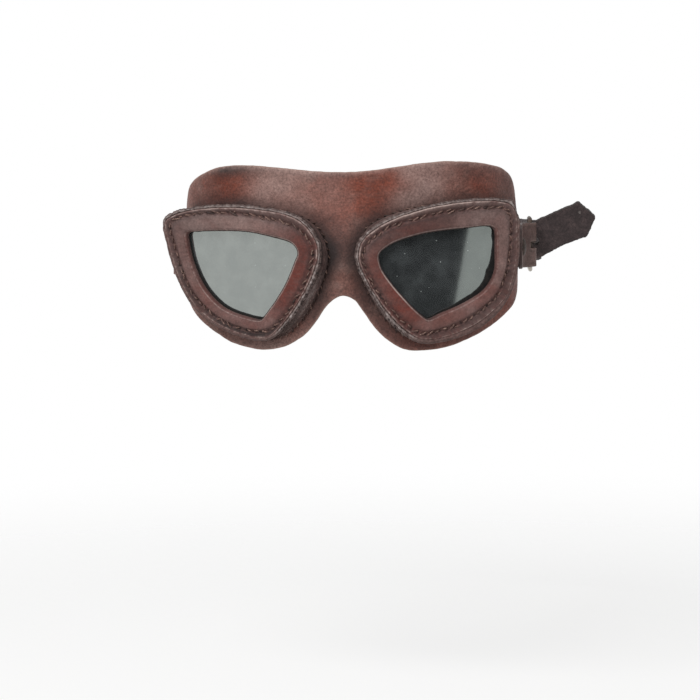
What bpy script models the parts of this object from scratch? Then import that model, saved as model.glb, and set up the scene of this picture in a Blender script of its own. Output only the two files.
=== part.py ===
# Pilot goggles: a bent leather mask with two stitched eyecups, flat tinted lenses,
# and a leather head strap that closes with a pin buckle at the wearer's left temple.
# Frame: metres, +Z up, the lenses face -Y, +X is the wearer's left.
# The origin lies on the mid plane at the bridge of the nose, just behind the mask's inner face.

import math
import bpy
import bmesh
import numpy as np
from mathutils import Matrix, Vector

# Driving dimensions: mask
gap = 0.0003
merge_distance = 1e-7
mask_thick = 0.0022
brow_radius = 0.1072
brow_angle = math.radians(32)
temple_radius = 0.0402
mask_reach = 0.100
mask_rise = 0.041
nose_lift = 0.0035
nose_spread = 0.009
nose_lift_top = 0.025
nose_lift_full = -0.012

# Driving dimensions: eyecups, one plane per front plate
cup_width = 0.072
cup_height = 0.060
cup_turn = math.radians(16)
cup_pitch = math.radians(2)
cup_nose_x = 0.009
cup_nose_y = -0.012
plate_thick = 0.0025
plate_round = 0.0005
wall_thick = 0.0015
wall_roll = 0.0010
flange_width = 0.0040
foot_width = 0.0035
lens_thick = 0.0018
lens_lap = 0.0035
gasket_thick = 0.0008
gasket_lip = 0.0006
retainer_thick = 0.0015
retainer_lap = 0.0042
retainer_setback = 0.0008

# Driving dimensions: stitching
stitch_inset = 0.0030
thread_radius = 0.0004
groove_half = 0.0011
groove_depth = 0.0011

# Driving dimensions: strap, tabs, buckle and rivets
strap_height = 0.0012
strap_width = 0.018
strap_thick = 0.0026
tab_width = 0.0206
strap_tab_width = 0.026
tab_thick = 0.0018
pivot_y = 0.057
rivet_post = 0.0015
rivet_head = 0.0042
rivet_dome = 0.0015
rivet_lift = 0.0002
burr_radius = 0.0034
burr_thick = 0.0010
rivet_tail = 0.0008
wire_radius = 0.0010
frame_pitch = 0.019
frame_half = 0.0117
frame_corner = 0.0013
bar_out = 0.0055
bar_back = 0.021
far_bar_out = 0.0049
prong_radius = 0.0008
prong_overhang = 0.0022
prong_slot_half = 0.0032
fold_radius = 0.0035
fold_lean = math.radians(25.0)
fold_angle = math.radians(90)
fold_back = 0.0155
free_length = 0.0387
hole_radius = 0.0012
prong_hole_length = 0.0035
prong_hole_width = 0.0042
hole_pitch = 0.024
hole_count = 4
loop_out = 0.0093
loop_depth = 0.119
loop_radius = 0.074
lap_back = 0.0035
lap_length = 0.016
tab_out = 0.0116

# Places that follow from these sizes: the mask's bends, its flat sides and what hangs on them
brow_length = brow_radius * brow_angle
temple_length = temple_radius * (math.pi / 2 - brow_angle)
side_start = brow_length + temple_length
temple_x = (brow_radius - temple_radius) * math.sin(brow_angle)
temple_y = brow_radius - mask_thick - (brow_radius - temple_radius) * math.cos(brow_angle)
side_x = temple_x + temple_radius
pivot_s = side_start + pivot_y - temple_y
bar_x = side_x + bar_out
far_bar_x = side_x + far_bar_out
tab_side_x = side_x + tab_out
loop_half = side_x + loop_out
bar_y = pivot_y + bar_back
fold_y = bar_y + fold_back
lap_start = bar_y + lap_back
loop_back = bar_y + loop_depth

# The two bends of a fold nearly meet, so each has almost the whole radius.
wrap_share = 0.999

# Outlines, as shares of the named widths and heights
# The front plates are cut by hand, so each side has its own outline.
plate_shares = {
    "left": [
        (-0.010, 0.035), (0.015, -0.115), (0.110, -0.355), (0.235, -0.535),
        (0.340, -0.620), (0.430, -0.635), (0.600, -0.595), (0.765, -0.505),
        (0.900, -0.345), (0.965, -0.140), (0.985, 0.135), (0.975, 0.315),
        (0.920, 0.380), (0.695, 0.397), (0.375, 0.340), (0.097, 0.230)],
    "right": [
        (0.010, 0.015), (0.038, -0.115), (0.135, -0.320), (0.247, -0.492),
        (0.340, -0.587), (0.430, -0.608), (0.583, -0.565), (0.750, -0.463),
        (0.885, -0.305), (0.960, -0.133), (1.020, 0.133), (1.037, 0.262),
        (0.993, 0.317), (0.773, 0.372), (0.417, 0.367), (0.132, 0.253)],
}
opening_shares = {
    "left": [
        (0.113, 0.033), (0.138, -0.053), (0.225, -0.200), (0.317, -0.353),
        (0.380, -0.432), (0.418, -0.445), (0.507, -0.405), (0.632, -0.337),
        (0.753, -0.243), (0.812, -0.125), (0.821, 0.017), (0.819, 0.175),
        (0.797, 0.205), (0.640, 0.202), (0.360, 0.168), (0.167, 0.097)],
    "right": [
        (0.136, 0.035), (0.168, -0.040), (0.245, -0.207), (0.323, -0.347),
        (0.375, -0.427), (0.411, -0.442), (0.514, -0.413), (0.639, -0.343),
        (0.743, -0.215), (0.808, -0.063), (0.839, 0.080), (0.844, 0.163),
        (0.808, 0.185), (0.639, 0.200), (0.389, 0.175), (0.183, 0.113)],
}
# The foot of each wall, along the mask from its middle and up from the bridge
foot_shares = [
    (0.063, 0.050), (0.075, -0.170), (0.130, -0.475), (0.200, -0.720),
    (0.265, -0.850), (0.330, -0.893), (0.440, -0.855), (0.580, -0.745),
    (0.720, -0.550), (0.800, -0.270), (0.830, 0.090), (0.810, 0.380),
    (0.750, 0.500), (0.550, 0.540), (0.310, 0.510), (0.115, 0.330)]
# The mask's edge on each side: from the brow out to the wing, and from the wing to the nose
brow_shares = {
    "left": [
        (0.12, 0.920), (0.24, 0.955), (0.40, 1.000), (0.54, 1.005), (0.68, 0.970),
        (0.79, 0.910), (0.87, 0.815), (0.915, 0.680), (0.95, 0.490), (1.01, 0.340)],
    "right": [
        (0.12, 0.915), (0.22, 0.940), (0.33, 0.965), (0.47, 0.985), (0.59, 0.965),
        (0.69, 0.905), (0.78, 0.830), (0.845, 0.745), (0.895, 0.620), (0.94, 0.480),
        (1.00, 0.350)],
}
cheek_shares = {
    "left": [
        (1.02, -0.290), (0.98, -0.430), (0.91, -0.555), (0.80, -0.675), (0.67, -0.815),
        (0.54, -0.940), (0.435, -1.005), (0.35, -1.020), (0.265, -1.000), (0.205, -0.920),
        (0.14, -0.775), (0.08, -0.565), (0.05, -0.465)],
    "right": [
        (1.03, -0.270), (0.98, -0.370), (0.90, -0.510), (0.80, -0.640), (0.70, -0.760),
        (0.61, -0.860), (0.53, -0.945), (0.42, -1.000), (0.335, -1.000), (0.255, -0.950),
        (0.175, -0.830), (0.12, -0.680), (0.075, -0.525), (0.04, -0.450)],
}
brow_middle_share = 0.905
nose_middle_share = -0.410
strap_tip_shares = (0.21, 0.59, 0.42)

SIDES = {"left": 1, "right": -1}
SPAN_STEPS = 4

# Surfaces: colour, roughness, metallic, transmission
SURFACES = {
    "mask leather": ((0.235, 0.105, 0.075), 0.50, 0.0, 0.0),
    "cup leather": ((0.185, 0.085, 0.065), 0.52, 0.0, 0.0),
    "strap leather": ((0.050, 0.036, 0.032), 0.85, 0.0, 0.0),
    "waxed thread": ((0.060, 0.035, 0.028), 0.70, 0.0, 0.0),
    "tinted glass": ((0.300, 0.340, 0.320), 0.05, 0.0, 0.6),
    "gasket rubber": ((0.015, 0.015, 0.015), 0.60, 0.0, 0.0),
    "nickel steel": ((0.600, 0.580, 0.550), 0.25, 1.0, 0.0),
}


# Scene and materials
def clear_scene():
    """Remove whatever the file starts with."""
    for item in list(bpy.data.objects):
        bpy.data.objects.remove(item, do_unlink=True)


def make_material(name, kind):
    """The surface of one piece, from its kind of real material."""
    colour, roughness, metallic, transmission = SURFACES[kind]
    made = bpy.data.materials.new(name)
    made.use_nodes = True
    surface = made.node_tree.nodes["Principled BSDF"]
    surface.inputs["Base Color"].default_value = (*colour, 1.0)
    surface.inputs["Roughness"].default_value = roughness
    surface.inputs["Metallic"].default_value = metallic
    surface.inputs["Transmission Weight"].default_value = transmission
    return made


def make_pivot(name, spot, parent=None):
    """An empty on a joint's axis; the pieces that turn there are its children."""
    made = bpy.data.objects.new(name, None)
    made.location = spot if parent is None else Vector(spot) - parent.location
    made.parent = parent
    bpy.context.scene.collection.objects.link(made)
    return made


def hang_on(pivot, names):
    """Give pieces their origin at a pivot, without moving them."""
    bpy.context.view_layer.update()
    shift = Matrix.Translation(-pivot.matrix_world.translation)
    for name in names:
        piece = bpy.data.objects[name]
        piece.data.transform(shift)
        piece.parent = pivot


def make_object(name, shape, kind, smooth_below=math.radians(38)):
    """Turn a finished bmesh into a named object with its own material."""
    bmesh.ops.remove_doubles(shape, verts=shape.verts, dist=merge_distance)
    bmesh.ops.triangulate(shape, faces=[f for f in shape.faces if len(f.verts) > 4])
    bmesh.ops.recalc_face_normals(shape, faces=shape.faces)
    for face in shape.faces:
        face.smooth = True
    for edge in shape.edges:
        edge.smooth = edge.calc_face_angle(math.pi) < smooth_below
    mesh = bpy.data.meshes.new(name)
    shape.to_mesh(mesh)
    shape.free()
    mesh.materials.append(make_material(name, kind))
    made = bpy.data.objects.new(name, mesh)
    bpy.context.scene.collection.objects.link(made)
    return made


# Curves and outlines
def closed_curve(points, steps=SPAN_STEPS):
    """A smooth closed curve through the points, with the same steps in every span."""
    points = np.asarray(points, float)
    count = len(points)
    curve = []
    for index in range(count):
        four = [points[(index + shift) % count] for shift in (-1, 0, 1, 2)]
        curve.extend(span_points(four, steps))
    return np.array(curve)


def open_curve(points, steps=SPAN_STEPS):
    """A smooth curve from the first point to the last."""
    points = [np.asarray(p, float) for p in points]
    padded = [2 * points[0] - points[1]] + points + [2 * points[-1] - points[-2]]
    curve = []
    for index in range(len(points) - 1):
        curve.extend(span_points(padded[index:index + 4], steps))
    curve.append(points[-1])
    return np.array(curve)


def span_points(four, steps):
    """The middle span of a centripetal spline through four points."""
    knots = [0.0]
    for a, b in zip(four[:-1], four[1:]):
        knots.append(knots[-1] + math.sqrt(np.linalg.norm(b - a)))
    result = []
    for t in np.linspace(knots[1], knots[2], steps, endpoint=False):
        low = [blend(four[i], four[i + 1], knots[i], knots[i + 1], t) for i in range(3)]
        mid = [blend(low[i], low[i + 1], knots[i], knots[i + 2], t) for i in range(2)]
        result.append(blend(mid[0], mid[1], knots[1], knots[2], t))
    return result


def blend(a, b, start, end, t):
    """Straight blend from a at start to b at end."""
    return a * (end - t) / (end - start) + b * (t - start) / (end - start)


def unit(vector):
    """The vector at length one."""
    return vector / np.linalg.norm(vector)


def arc_points(centre, radius, start, end, steps):
    """Points on an arc in the plane of a sheet."""
    angles = np.linspace(start, end, steps)
    return [(centre[0] + radius * math.cos(a), centre[1] + radius * math.sin(a)) for a in angles]


def oval_outline(centre, along, across, steps=18):
    """An oval hole."""
    angles = [2 * math.pi * k / steps for k in range(steps)]
    return [(centre[0] + along * math.cos(a), centre[1] + across * math.sin(a)) for a in angles]


def round_hole(distance, radius):
    """A round hole on the strap's middle line."""
    return oval_outline((distance, strap_height), radius, radius, 14)


# Paths seen from above: straight runs and arcs, followed by length
class PlanPath:
    """A path that runs through corners, each rounded by its own radius."""

    def __init__(self, corners):
        spots = [np.array(c[:2], float) for c in corners]
        self.pieces = []
        self.length = 0.0
        here = spots[0]
        for index in range(1, len(spots)):
            ahead = unit(spots[index] - spots[index - 1])
            if index == len(spots) - 1:
                self.add_run(here, ahead, np.linalg.norm(spots[index] - here))
                break
            leaving = unit(spots[index + 1] - spots[index])
            turn = math.atan2(ahead[0] * leaving[1] - ahead[1] * leaving[0], ahead @ leaving)
            trim = corners[index][2] * math.tan(abs(turn) / 2)
            self.add_run(here, ahead, np.linalg.norm(spots[index] - here) - trim)
            self.add_bend(spots[index] - ahead * trim, ahead, corners[index][2], turn)
            here = spots[index] + leaving * trim

    def add_run(self, start, ahead, length):
        """A straight run."""
        self.pieces.append((self.length, length, start, ahead, 0.0, 0.0))
        self.length += length

    def add_bend(self, start, ahead, radius, turn):
        """An arc that starts along the run before it."""
        self.pieces.append((self.length, radius * abs(turn), start, ahead, radius, turn))
        self.length += radius * abs(turn)

    def at(self, distance):
        """Place and heading at a distance along the path."""
        piece = [p for p in self.pieces if p[0] <= distance + 1e-9] or self.pieces[:1]
        begin, length, start, ahead, radius, turn = piece[-1]
        along = distance - begin
        if not radius:
            return start + ahead * along, ahead
        sign = math.copysign(1.0, turn)
        angle = along / radius
        side = sign * np.array([-ahead[1], ahead[0]])
        place = start + radius * (math.sin(angle) * ahead + (1 - math.cos(angle)) * side)
        return place, math.cos(angle) * ahead + math.sin(angle) * side

    def bend_steps(self, step_angle=math.radians(14)):
        """Distances at which a sheet is creased so that it follows the arcs."""
        marks = []
        for begin, length, _, _, radius, turn in self.pieces:
            if radius:
                count = max(2, math.ceil(abs(turn) / step_angle))
                marks.extend(begin + length * k / count for k in range(count + 1))
        return marks


# Solids
def sheet_solid(outline, holes, thick, creases, place, back=0.0):
    """A flat cut sheet with holes, given thickness, creased along lines and bent into place."""
    shape = bmesh.new()
    edges = []
    for loop in [outline] + list(holes):
        verts = [shape.verts.new((p[0], 0.0, p[1])) for p in loop]
        edges.extend(shape.edges.new((a, b)) for a, b in zip(verts, verts[1:] + verts[:1]))
    filled = bmesh.ops.triangle_fill(shape, use_beauty=True, use_dissolve=True, edges=edges)
    faces = [item for item in filled["geom"] if isinstance(item, bmesh.types.BMFace)]
    raised = bmesh.ops.extrude_face_region(shape, geom=faces)
    moved = [item for item in raised["geom"] if isinstance(item, bmesh.types.BMVert)]
    bmesh.ops.translate(shape, verts=moved, vec=(0.0, thick, 0.0))
    for spot, normal, reach in creases:
        chosen = [f for f in shape.faces if not reach or abs(f.calc_center_bounds().x) < reach]
        parts = list({e for f in chosen for e in f.edges} | {v for f in chosen for v in f.verts})
        bmesh.ops.bisect_plane(shape, geom=chosen + parts, dist=merge_distance,
                               plane_co=(spot[0], 0.0, spot[1]),
                               plane_no=(normal[0], 0.0, normal[1]))
    bmesh.ops.triangulate(shape, faces=shape.faces)
    for vert in shape.verts:
        vert.co = Vector(place(vert.co.x, vert.co.z, vert.co.y + back))
    return shape


def ring_solid(rings):
    """A closed band: every ring is joined to the next, and the last to the first."""
    shape = bmesh.new()
    grid = [[shape.verts.new(Vector(p)) for p in ring] for ring in rings]
    count = len(grid[0])
    for row, ahead in zip(grid, grid[1:] + grid[:1]):
        for k in range(count):
            following = (k + 1) % count
            shape.faces.new((row[k], row[following], ahead[following], ahead[k]))
    return shape


def slab_solid(front, back):
    """A flat disc between a front and a back outline."""
    shape = bmesh.new()
    lower = [shape.verts.new(Vector(p)) for p in front]
    upper = [shape.verts.new(Vector(p)) for p in back]
    shape.faces.new(lower)
    shape.faces.new(upper[::-1])
    for k in range(len(lower)):
        following = (k + 1) % len(lower)
        shape.faces.new((lower[k], upper[k], upper[following], lower[following]))
    return shape


def tube_solid(points, radius, closed=False, sides=8):
    """Round wire or thread along a path, closed on itself or with flat ends."""
    points = [Vector(p) for p in points]
    count = len(points)
    rings = []
    shape = bmesh.new()
    upright = None
    for k, point in enumerate(points):
        before = points[k - 1] if closed or k else point
        after = points[(k + 1) % count] if closed or k < count - 1 else point
        along = (after - before).normalized()
        if upright is None:
            upright = along.orthogonal().normalized()
        upright = (upright - along * upright.dot(along)).normalized()
        across = along.cross(upright)
        ring = []
        for s in range(sides):
            angle = 2 * math.pi * s / sides
            arm = upright * math.cos(angle) + across * math.sin(angle)
            ring.append(shape.verts.new(point + arm * radius))
        rings.append(ring)
    joined = list(zip(rings, rings[1:]))
    for row, ahead in joined:
        for s in range(sides):
            nxt = (s + 1) % sides
            shape.faces.new((row[s], row[nxt], ahead[nxt], ahead[s]))
    if closed:
        close_tube(shape, rings[-1], rings[0])
    else:
        shape.faces.new(rings[0])
        shape.faces.new(rings[-1][::-1])
    return shape


def close_tube(shape, last, first):
    """Join the two ends of a wire at their nearest corners."""
    sides = len(last)
    shift = min(range(sides), key=lambda s: (first[s].co - last[0].co).length)
    for s in range(sides):
        nxt = (s + 1) % sides
        shape.faces.new((last[s], last[nxt], first[(nxt + shift) % sides], first[(s + shift) % sides]))


def turned_solid(profile, base, outward, steps=24):
    """A round piece turned about an axis along X; the profile is (radius, height)."""
    shape = bmesh.new()
    spots = [shape.verts.new((base[0] + outward * h, base[1] + r, base[2])) for r, h in profile]
    edges = [shape.edges.new(pair) for pair in zip(spots, spots[1:])]
    bmesh.ops.spin(shape, geom=spots + edges, cent=base, axis=(1.0, 0.0, 0.0),
                   angle=2 * math.pi, steps=steps)
    bmesh.ops.remove_doubles(shape, verts=shape.verts, dist=merge_distance)
    return shape


# The mask's bent surface
def nose_bump(s, z):
    """How far the bridge of the nose lifts the mask."""
    rise = min(1.0, max(0.0, (nose_lift_top - z) / (nose_lift_top - nose_lift_full)))
    return nose_lift * rise * rise * (3 - 2 * rise) * math.exp(-(s / nose_spread) ** 2)


def mask_point(s, z, out):
    """A point beside the mask: s along it, z up, out from its front face."""
    side = math.copysign(1.0, s)
    along = abs(s)
    if along <= brow_length:
        angle = along / brow_radius
        spot = (brow_radius * math.sin(angle), brow_radius * (1 - math.cos(angle)) - mask_thick)
    elif along <= side_start:
        angle = brow_angle + (along - brow_length) / temple_radius
        spot = (temple_x + temple_radius * math.sin(angle),
                temple_y - temple_radius * math.cos(angle))
    else:
        angle = math.pi / 2
        spot = (side_x, temple_y + along - side_start)
    lift = out + nose_bump(s, z)
    return (side * (spot[0] + lift * math.sin(angle)), spot[1] - lift * math.cos(angle), z)


def foot_outline(side, inset=0.0):
    """The line on the mask where an eyecup stands, or a line inside it."""
    curve = closed_curve([(u * mask_reach, v * mask_rise) for u, v in foot_shares])
    middle = curve.mean(axis=0)
    moved = [p + unit(middle - p) * inset for p in curve]
    return [(side * p[0], p[1]) for p in moved]


def mask_half_outline(side_name):
    """One half of the mask's edge laid flat: brow, wing with its round end, cheek."""
    half = tab_width / 2
    brow = [(u * mask_reach, v * mask_rise) for u, v in brow_shares[side_name]]
    cheek = [(u * mask_reach, v * mask_rise) for u, v in cheek_shares[side_name]]
    middle_top = (0.0, brow_middle_share * mask_rise)
    middle_low = (0.0, nose_middle_share * mask_rise)
    top = [(-brow[0][0], brow[0][1]), middle_top] + brow + [(pivot_s, strap_height + half)]
    low = [(pivot_s, strap_height - half)] + cheek + [middle_low, (-cheek[-1][0], cheek[-1][1])]
    wing = arc_points((pivot_s, strap_height), half, math.pi / 2, -math.pi / 2, 13)[1:-1]
    edge = list(open_curve(top)[SPAN_STEPS:]) + wing + list(open_curve(low)[:-SPAN_STEPS])
    return [(SIDES[side_name] * p[0], p[1]) for p in edge]


def mask_outline():
    """The whole edge of the mask laid flat."""
    return mask_half_outline("left") + mask_half_outline("right")[-2:0:-1]


def mask_creases():
    """Lines where the flat mask is creased: across its length, and across the nose."""
    lines = []
    for start, length, count in ((0.0, brow_length, 15), (brow_length, temple_length, 14)):
        for k in range(count + 1):
            distance = start + length * k / count
            lines.append(((distance, 0.0), (1.0, 0.0), None))
            lines.append(((-distance, 0.0), (1.0, 0.0), None))
    nose_reach = 2.6 * nose_spread
    for k in range(1, 8):
        height = nose_lift_top - (nose_lift_top - nose_middle_share * mask_rise) * k / 8
        lines.append(((0.0, height), (0.0, 1.0), nose_reach))
    return lines


def build_mask():
    """One bent leather sheet with two eye holes and a rivet hole in each wing."""
    holes = []
    for side in SIDES.values():
        holes.append(foot_outline(side, foot_width + gap))
        holes.append(round_hole(side * pivot_s, rivet_post + gap))
    shape = sheet_solid(mask_outline(), holes, mask_thick, mask_creases(), mask_point,
                        back=-mask_thick)
    make_object("mask_body", shape, "mask leather")


# Eyecups
class Cup:
    """The plane of one front plate, with its outline, opening and foot."""

    def __init__(self, side_name):
        self.side = SIDES[side_name]
        turn, pitch = cup_turn, cup_pitch
        self.origin = np.array([self.side * cup_nose_x, cup_nose_y, 0.0])
        self.across = np.array([self.side * math.cos(turn), math.sin(turn), 0.0])
        self.front = np.array([self.side * math.sin(turn) * math.cos(pitch),
                               -math.cos(turn) * math.cos(pitch), -math.sin(pitch)])
        self.up = self.side * np.cross(self.front, self.across)
        self.outline = self.plane_curve(plate_shares[side_name])
        self.opening = self.plane_curve(opening_shares[side_name])
        self.inward = np.array([unit(b - a) for a, b in zip(self.outline, self.opening)])
        self.foot = np.array(foot_outline(self.side))
        middle = self.foot.mean(axis=0)
        self.foot_inward = np.array([unit(middle - p) for p in self.foot])

    def plane_curve(self, shares):
        """A curve in the plate's own plane, from shares of the cup's size."""
        return closed_curve([(u * cup_width, v * cup_height) for u, v in shares])

    def ring(self, curve, shift, depth):
        """The curve moved in from the edge and set behind the plate's front face."""
        flat = curve + self.inward * shift
        return [self.origin + self.across * p[0] + self.up * p[1] - self.front * depth
                for p in flat]

    def foot_ring(self, shift, out):
        """The foot line moved in along the mask and set in front of it."""
        flat = self.foot + self.foot_inward * shift
        return [np.array(mask_point(p[0], p[1], out)) for p in flat]


def build_plate(name, cup):
    """The stitched front plate: rounded edges and a groove that the thread lies in."""
    edge, lip = cup.outline, cup.opening
    rings = [
        cup.ring(edge, plate_round, 0.0),
        cup.ring(edge, stitch_inset - groove_half, 0.0),
        cup.ring(edge, stitch_inset, groove_depth),
        cup.ring(edge, stitch_inset + groove_half, 0.0),
        cup.ring(lip, -plate_round, 0.0),
        cup.ring(lip, 0.0, plate_round),
        cup.ring(lip, 0.0, plate_thick),
        cup.ring(edge, 0.0, plate_thick),
        cup.ring(edge, 0.0, plate_round)]
    make_object(name, ring_solid(rings), "cup leather")


def build_wall(name, cup):
    """The side wall: a flange under the plate, a rolled edge, and a foot on the mask."""
    top = plate_thick + gap
    edge = cup.outline
    upper = cup.ring(edge, -wall_roll, top + wall_thick)
    lower = cup.foot_ring(0.0, gap + wall_thick)
    upper_inner = cup.ring(edge, wall_thick - wall_roll / 2, top + wall_thick)
    lower_inner = cup.foot_ring(wall_thick, gap + wall_thick)
    rings = [
        cup.ring(edge, flange_width, top),
        cup.ring(edge, plate_round, top),
        cup.ring(edge, -wall_roll * 0.7, top + wall_roll * 0.4),
        upper,
        [(a + b) / 2 for a, b in zip(upper, lower)],
        lower,
        cup.foot_ring(plate_round, gap),
        cup.foot_ring(foot_width, gap),
        cup.foot_ring(foot_width, gap + wall_thick),
        lower_inner,
        [(a + b) / 2 for a, b in zip(upper_inner, lower_inner)],
        upper_inner,
        cup.ring(edge, flange_width, top + wall_thick)]
    make_object(name, ring_solid(rings), "cup leather")


def build_lens_stack(side_name, cup):
    """Gasket, lens and retainer, one behind the other."""
    lip = cup.opening
    depth = plate_thick + gap
    for name, kind, outer, inner, thick in (
            ("lens_gasket", "gasket rubber", lens_lap, -gasket_lip, gasket_thick),
            ("lens", "tinted glass", lens_lap, None, lens_thick),
            ("lens_retainer", "cup leather", retainer_lap, retainer_setback, retainer_thick)):
        front = cup.ring(lip, -outer, depth)
        back = cup.ring(lip, -outer, depth + thick)
        if inner is None:
            shape = slab_solid(front, back)
        else:
            inner_back = cup.ring(lip, -inner, depth + thick)
            inner_front = cup.ring(lip, -inner, depth)
            shape = ring_solid([front, back, inner_back, inner_front])
        make_object(f"{name}_{side_name}", shape, kind)
        depth += thick + gap


def build_threads(side_name, cup):
    """One ring of thread in the plate's groove, and one where the wall meets the mask."""
    in_groove = cup.ring(cup.outline, stitch_inset, thread_radius / 2)
    beside = thread_radius + gap
    at_foot = cup.foot_ring(-beside, beside)
    for name, path in (("plate_thread", in_groove), ("foot_thread", at_foot)):
        shape = tube_solid(path, thread_radius, closed=True, sides=6)
        make_object(f"{name}_{side_name}", shape, "waxed thread")


# Strap, tabs and buckle
def upright_place(path):
    """Bend a sheet along a path seen from above; the sheet stands on edge."""
    def place(distance, height, out):
        spot, ahead = path.at(distance)
        return (spot[0] + ahead[1] * out, spot[1] - ahead[0] * out, height)
    return place


def tab_outline(length, half, round_end=False):
    """A strip with a round end about its rivet, and a round or a square far end."""
    near = arc_points((half, strap_height), half, 1.5 * math.pi, 0.5 * math.pi, 13)
    if round_end:
        return near + arc_points((length - half, strap_height), half,
                                 0.5 * math.pi, -0.5 * math.pi, 13)
    return near + [(length, strap_height + half), (length, strap_height - half)]


def buckle_tab_path():
    """From the outer leg's front end, round the heel bar, back along the inner leg."""
    half = tab_width / 2
    wrap = wire_radius + gap + tab_thick / 2
    outer_x = side_x + gap + tab_thick / 2
    inner_x = side_x - mask_thick - gap - tab_thick / 2
    front_y = pivot_y - half
    clear_y = pivot_y + half + tab_thick
    bar = np.array([bar_x, bar_y])
    lean = unit(bar - np.array([(outer_x + inner_x) / 2, clear_y - tab_thick]))
    side = np.array([lean[1], -lean[0]])
    outer_turn = bar + wrap * (lean + side)
    inner_turn = bar + wrap * (lean - side)
    return PlanPath([
        (outer_x, front_y), (outer_x, clear_y, 4 * tab_thick), (*outer_turn, wrap * wrap_share),
        (*inner_turn, wrap * wrap_share), (inner_x, clear_y, 4 * tab_thick), (inner_x, front_y)])


def build_buckle_tab():
    """A folded strip that straddles the left wing and carries the buckle's heel bar."""
    path = buckle_tab_path()
    half = tab_width / 2
    outline = tab_outline(path.length, half, round_end=True)
    rivet_hole = rivet_post + gap
    wrap = wire_radius + gap + tab_thick / 2
    holes = [round_hole(half, rivet_hole),
             round_hole(path.length - half, rivet_hole)]
    slot_reach = wrap * math.pi / 2 + wire_radius + 2 * gap + 2 * prong_radius
    wrap_middle = next(p for p in path.pieces if p[4] == wrap * wrap_share)
    bar_at = wrap_middle[0] + wrap_middle[1]
    holes.append([(bar_at + a * slot_reach, strap_height + b * prong_slot_half)
                  for a, b in ((-1, -1), (1, -1), (1, 1), (-1, 1))])
    creases = [((mark, 0.0), (1.0, 0.0), None) for mark in path.bend_steps()]
    shape = sheet_solid(outline, holes, tab_thick, creases, upright_place(path),
                        back=-tab_thick / 2)
    make_object("buckle_tab_left", shape, "mask leather")


def strap_tab_path():
    """The right tab, from its rivet back to where the strap is fixed to it."""
    near_x = -(side_x + gap + tab_thick / 2)
    far_x = -(tab_side_x - tab_thick / 2)
    front_y = pivot_y - strap_tab_width / 2
    flare_y = pivot_y + tab_width / 2
    return PlanPath([(near_x, front_y), (near_x, flare_y, 4 * tab_thick),
                     (far_x, bar_y, 4 * tab_thick), (far_x, lap_start + lap_length)])


def build_strap_tab():
    """A leather strip riveted to the right wing; it carries the fixed end of the strap."""
    path = strap_tab_path()
    half = strap_tab_width / 2
    holes = [round_hole(half, rivet_post + gap),
             round_hole(path.length - lap_length / 2, rivet_post + gap)]
    creases = [((mark, 0.0), (1.0, 0.0), None) for mark in path.bend_steps()]
    shape = sheet_solid(tab_outline(path.length, half), holes, tab_thick, creases,
                        upright_place(path), back=-tab_thick / 2)
    make_object("strap_tab_right", shape, "mask leather")


fixed_x = -(tab_side_x - tab_thick - gap - strap_thick / 2)
fold_x = far_bar_x - wire_radius - gap - strap_thick / 2
prong_eye = wire_radius + gap + prong_radius
prong_root_x = bar_x + prong_eye
prong_tip_x = far_bar_x + prong_eye


def strap_path():
    """Round the back of the head, from the right tab to the fold in the buckle."""
    straight = fold_y + 2 * fold_radius + strap_width * math.tan(fold_lean) / 2
    return PlanPath([
        (fixed_x, lap_start), (fixed_x, lap_start + 1.5 * lap_length, loop_radius),
        (-loop_half, loop_back, loop_radius),
        (loop_half, loop_back, loop_radius), (loop_half, straight + strap_width / 2, strap_width),
        (fold_x, straight, 2 * fold_radius), (fold_x, fold_y)])


def strap_place(path):
    """Bend the strap along its loop, then out through the buckle over a leaning fold."""
    follow = upright_place(path)
    root = np.array([fold_x, fold_y, strap_height])
    axis = np.array([0.0, -math.sin(fold_lean), math.cos(fold_lean)])
    onward = np.array([0.0, -math.cos(fold_lean), -math.sin(fold_lean)])
    outward = np.array([1.0, 0.0, 0.0])
    full = fold_radius * fold_angle

    def place(distance, height, out):
        beyond = distance - path.length
        rise = height - strap_height
        run = beyond * math.cos(fold_lean) - rise * math.sin(fold_lean)
        if run <= 0.0:
            return follow(distance, height, -out)
        up_axis = beyond * math.sin(fold_lean) + rise * math.cos(fold_lean)
        angle = min(run, full) / fold_radius
        spot = root + axis * up_axis
        spot = spot + fold_radius * (math.sin(angle) * onward + (1 - math.cos(angle)) * outward)
        ahead = math.cos(angle) * onward + math.sin(angle) * outward
        normal = math.cos(angle) * outward - math.sin(angle) * onward
        return spot + ahead * max(0.0, run - full) + normal * out
    return place


def prong_hole_distance(path):
    """How far along the strap the prong goes through it."""
    prong_x = (prong_root_x + prong_tip_x) / 2
    run = fold_radius * fold_angle + prong_x - fold_x - fold_radius
    return path.length + run / math.cos(fold_lean)


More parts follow.
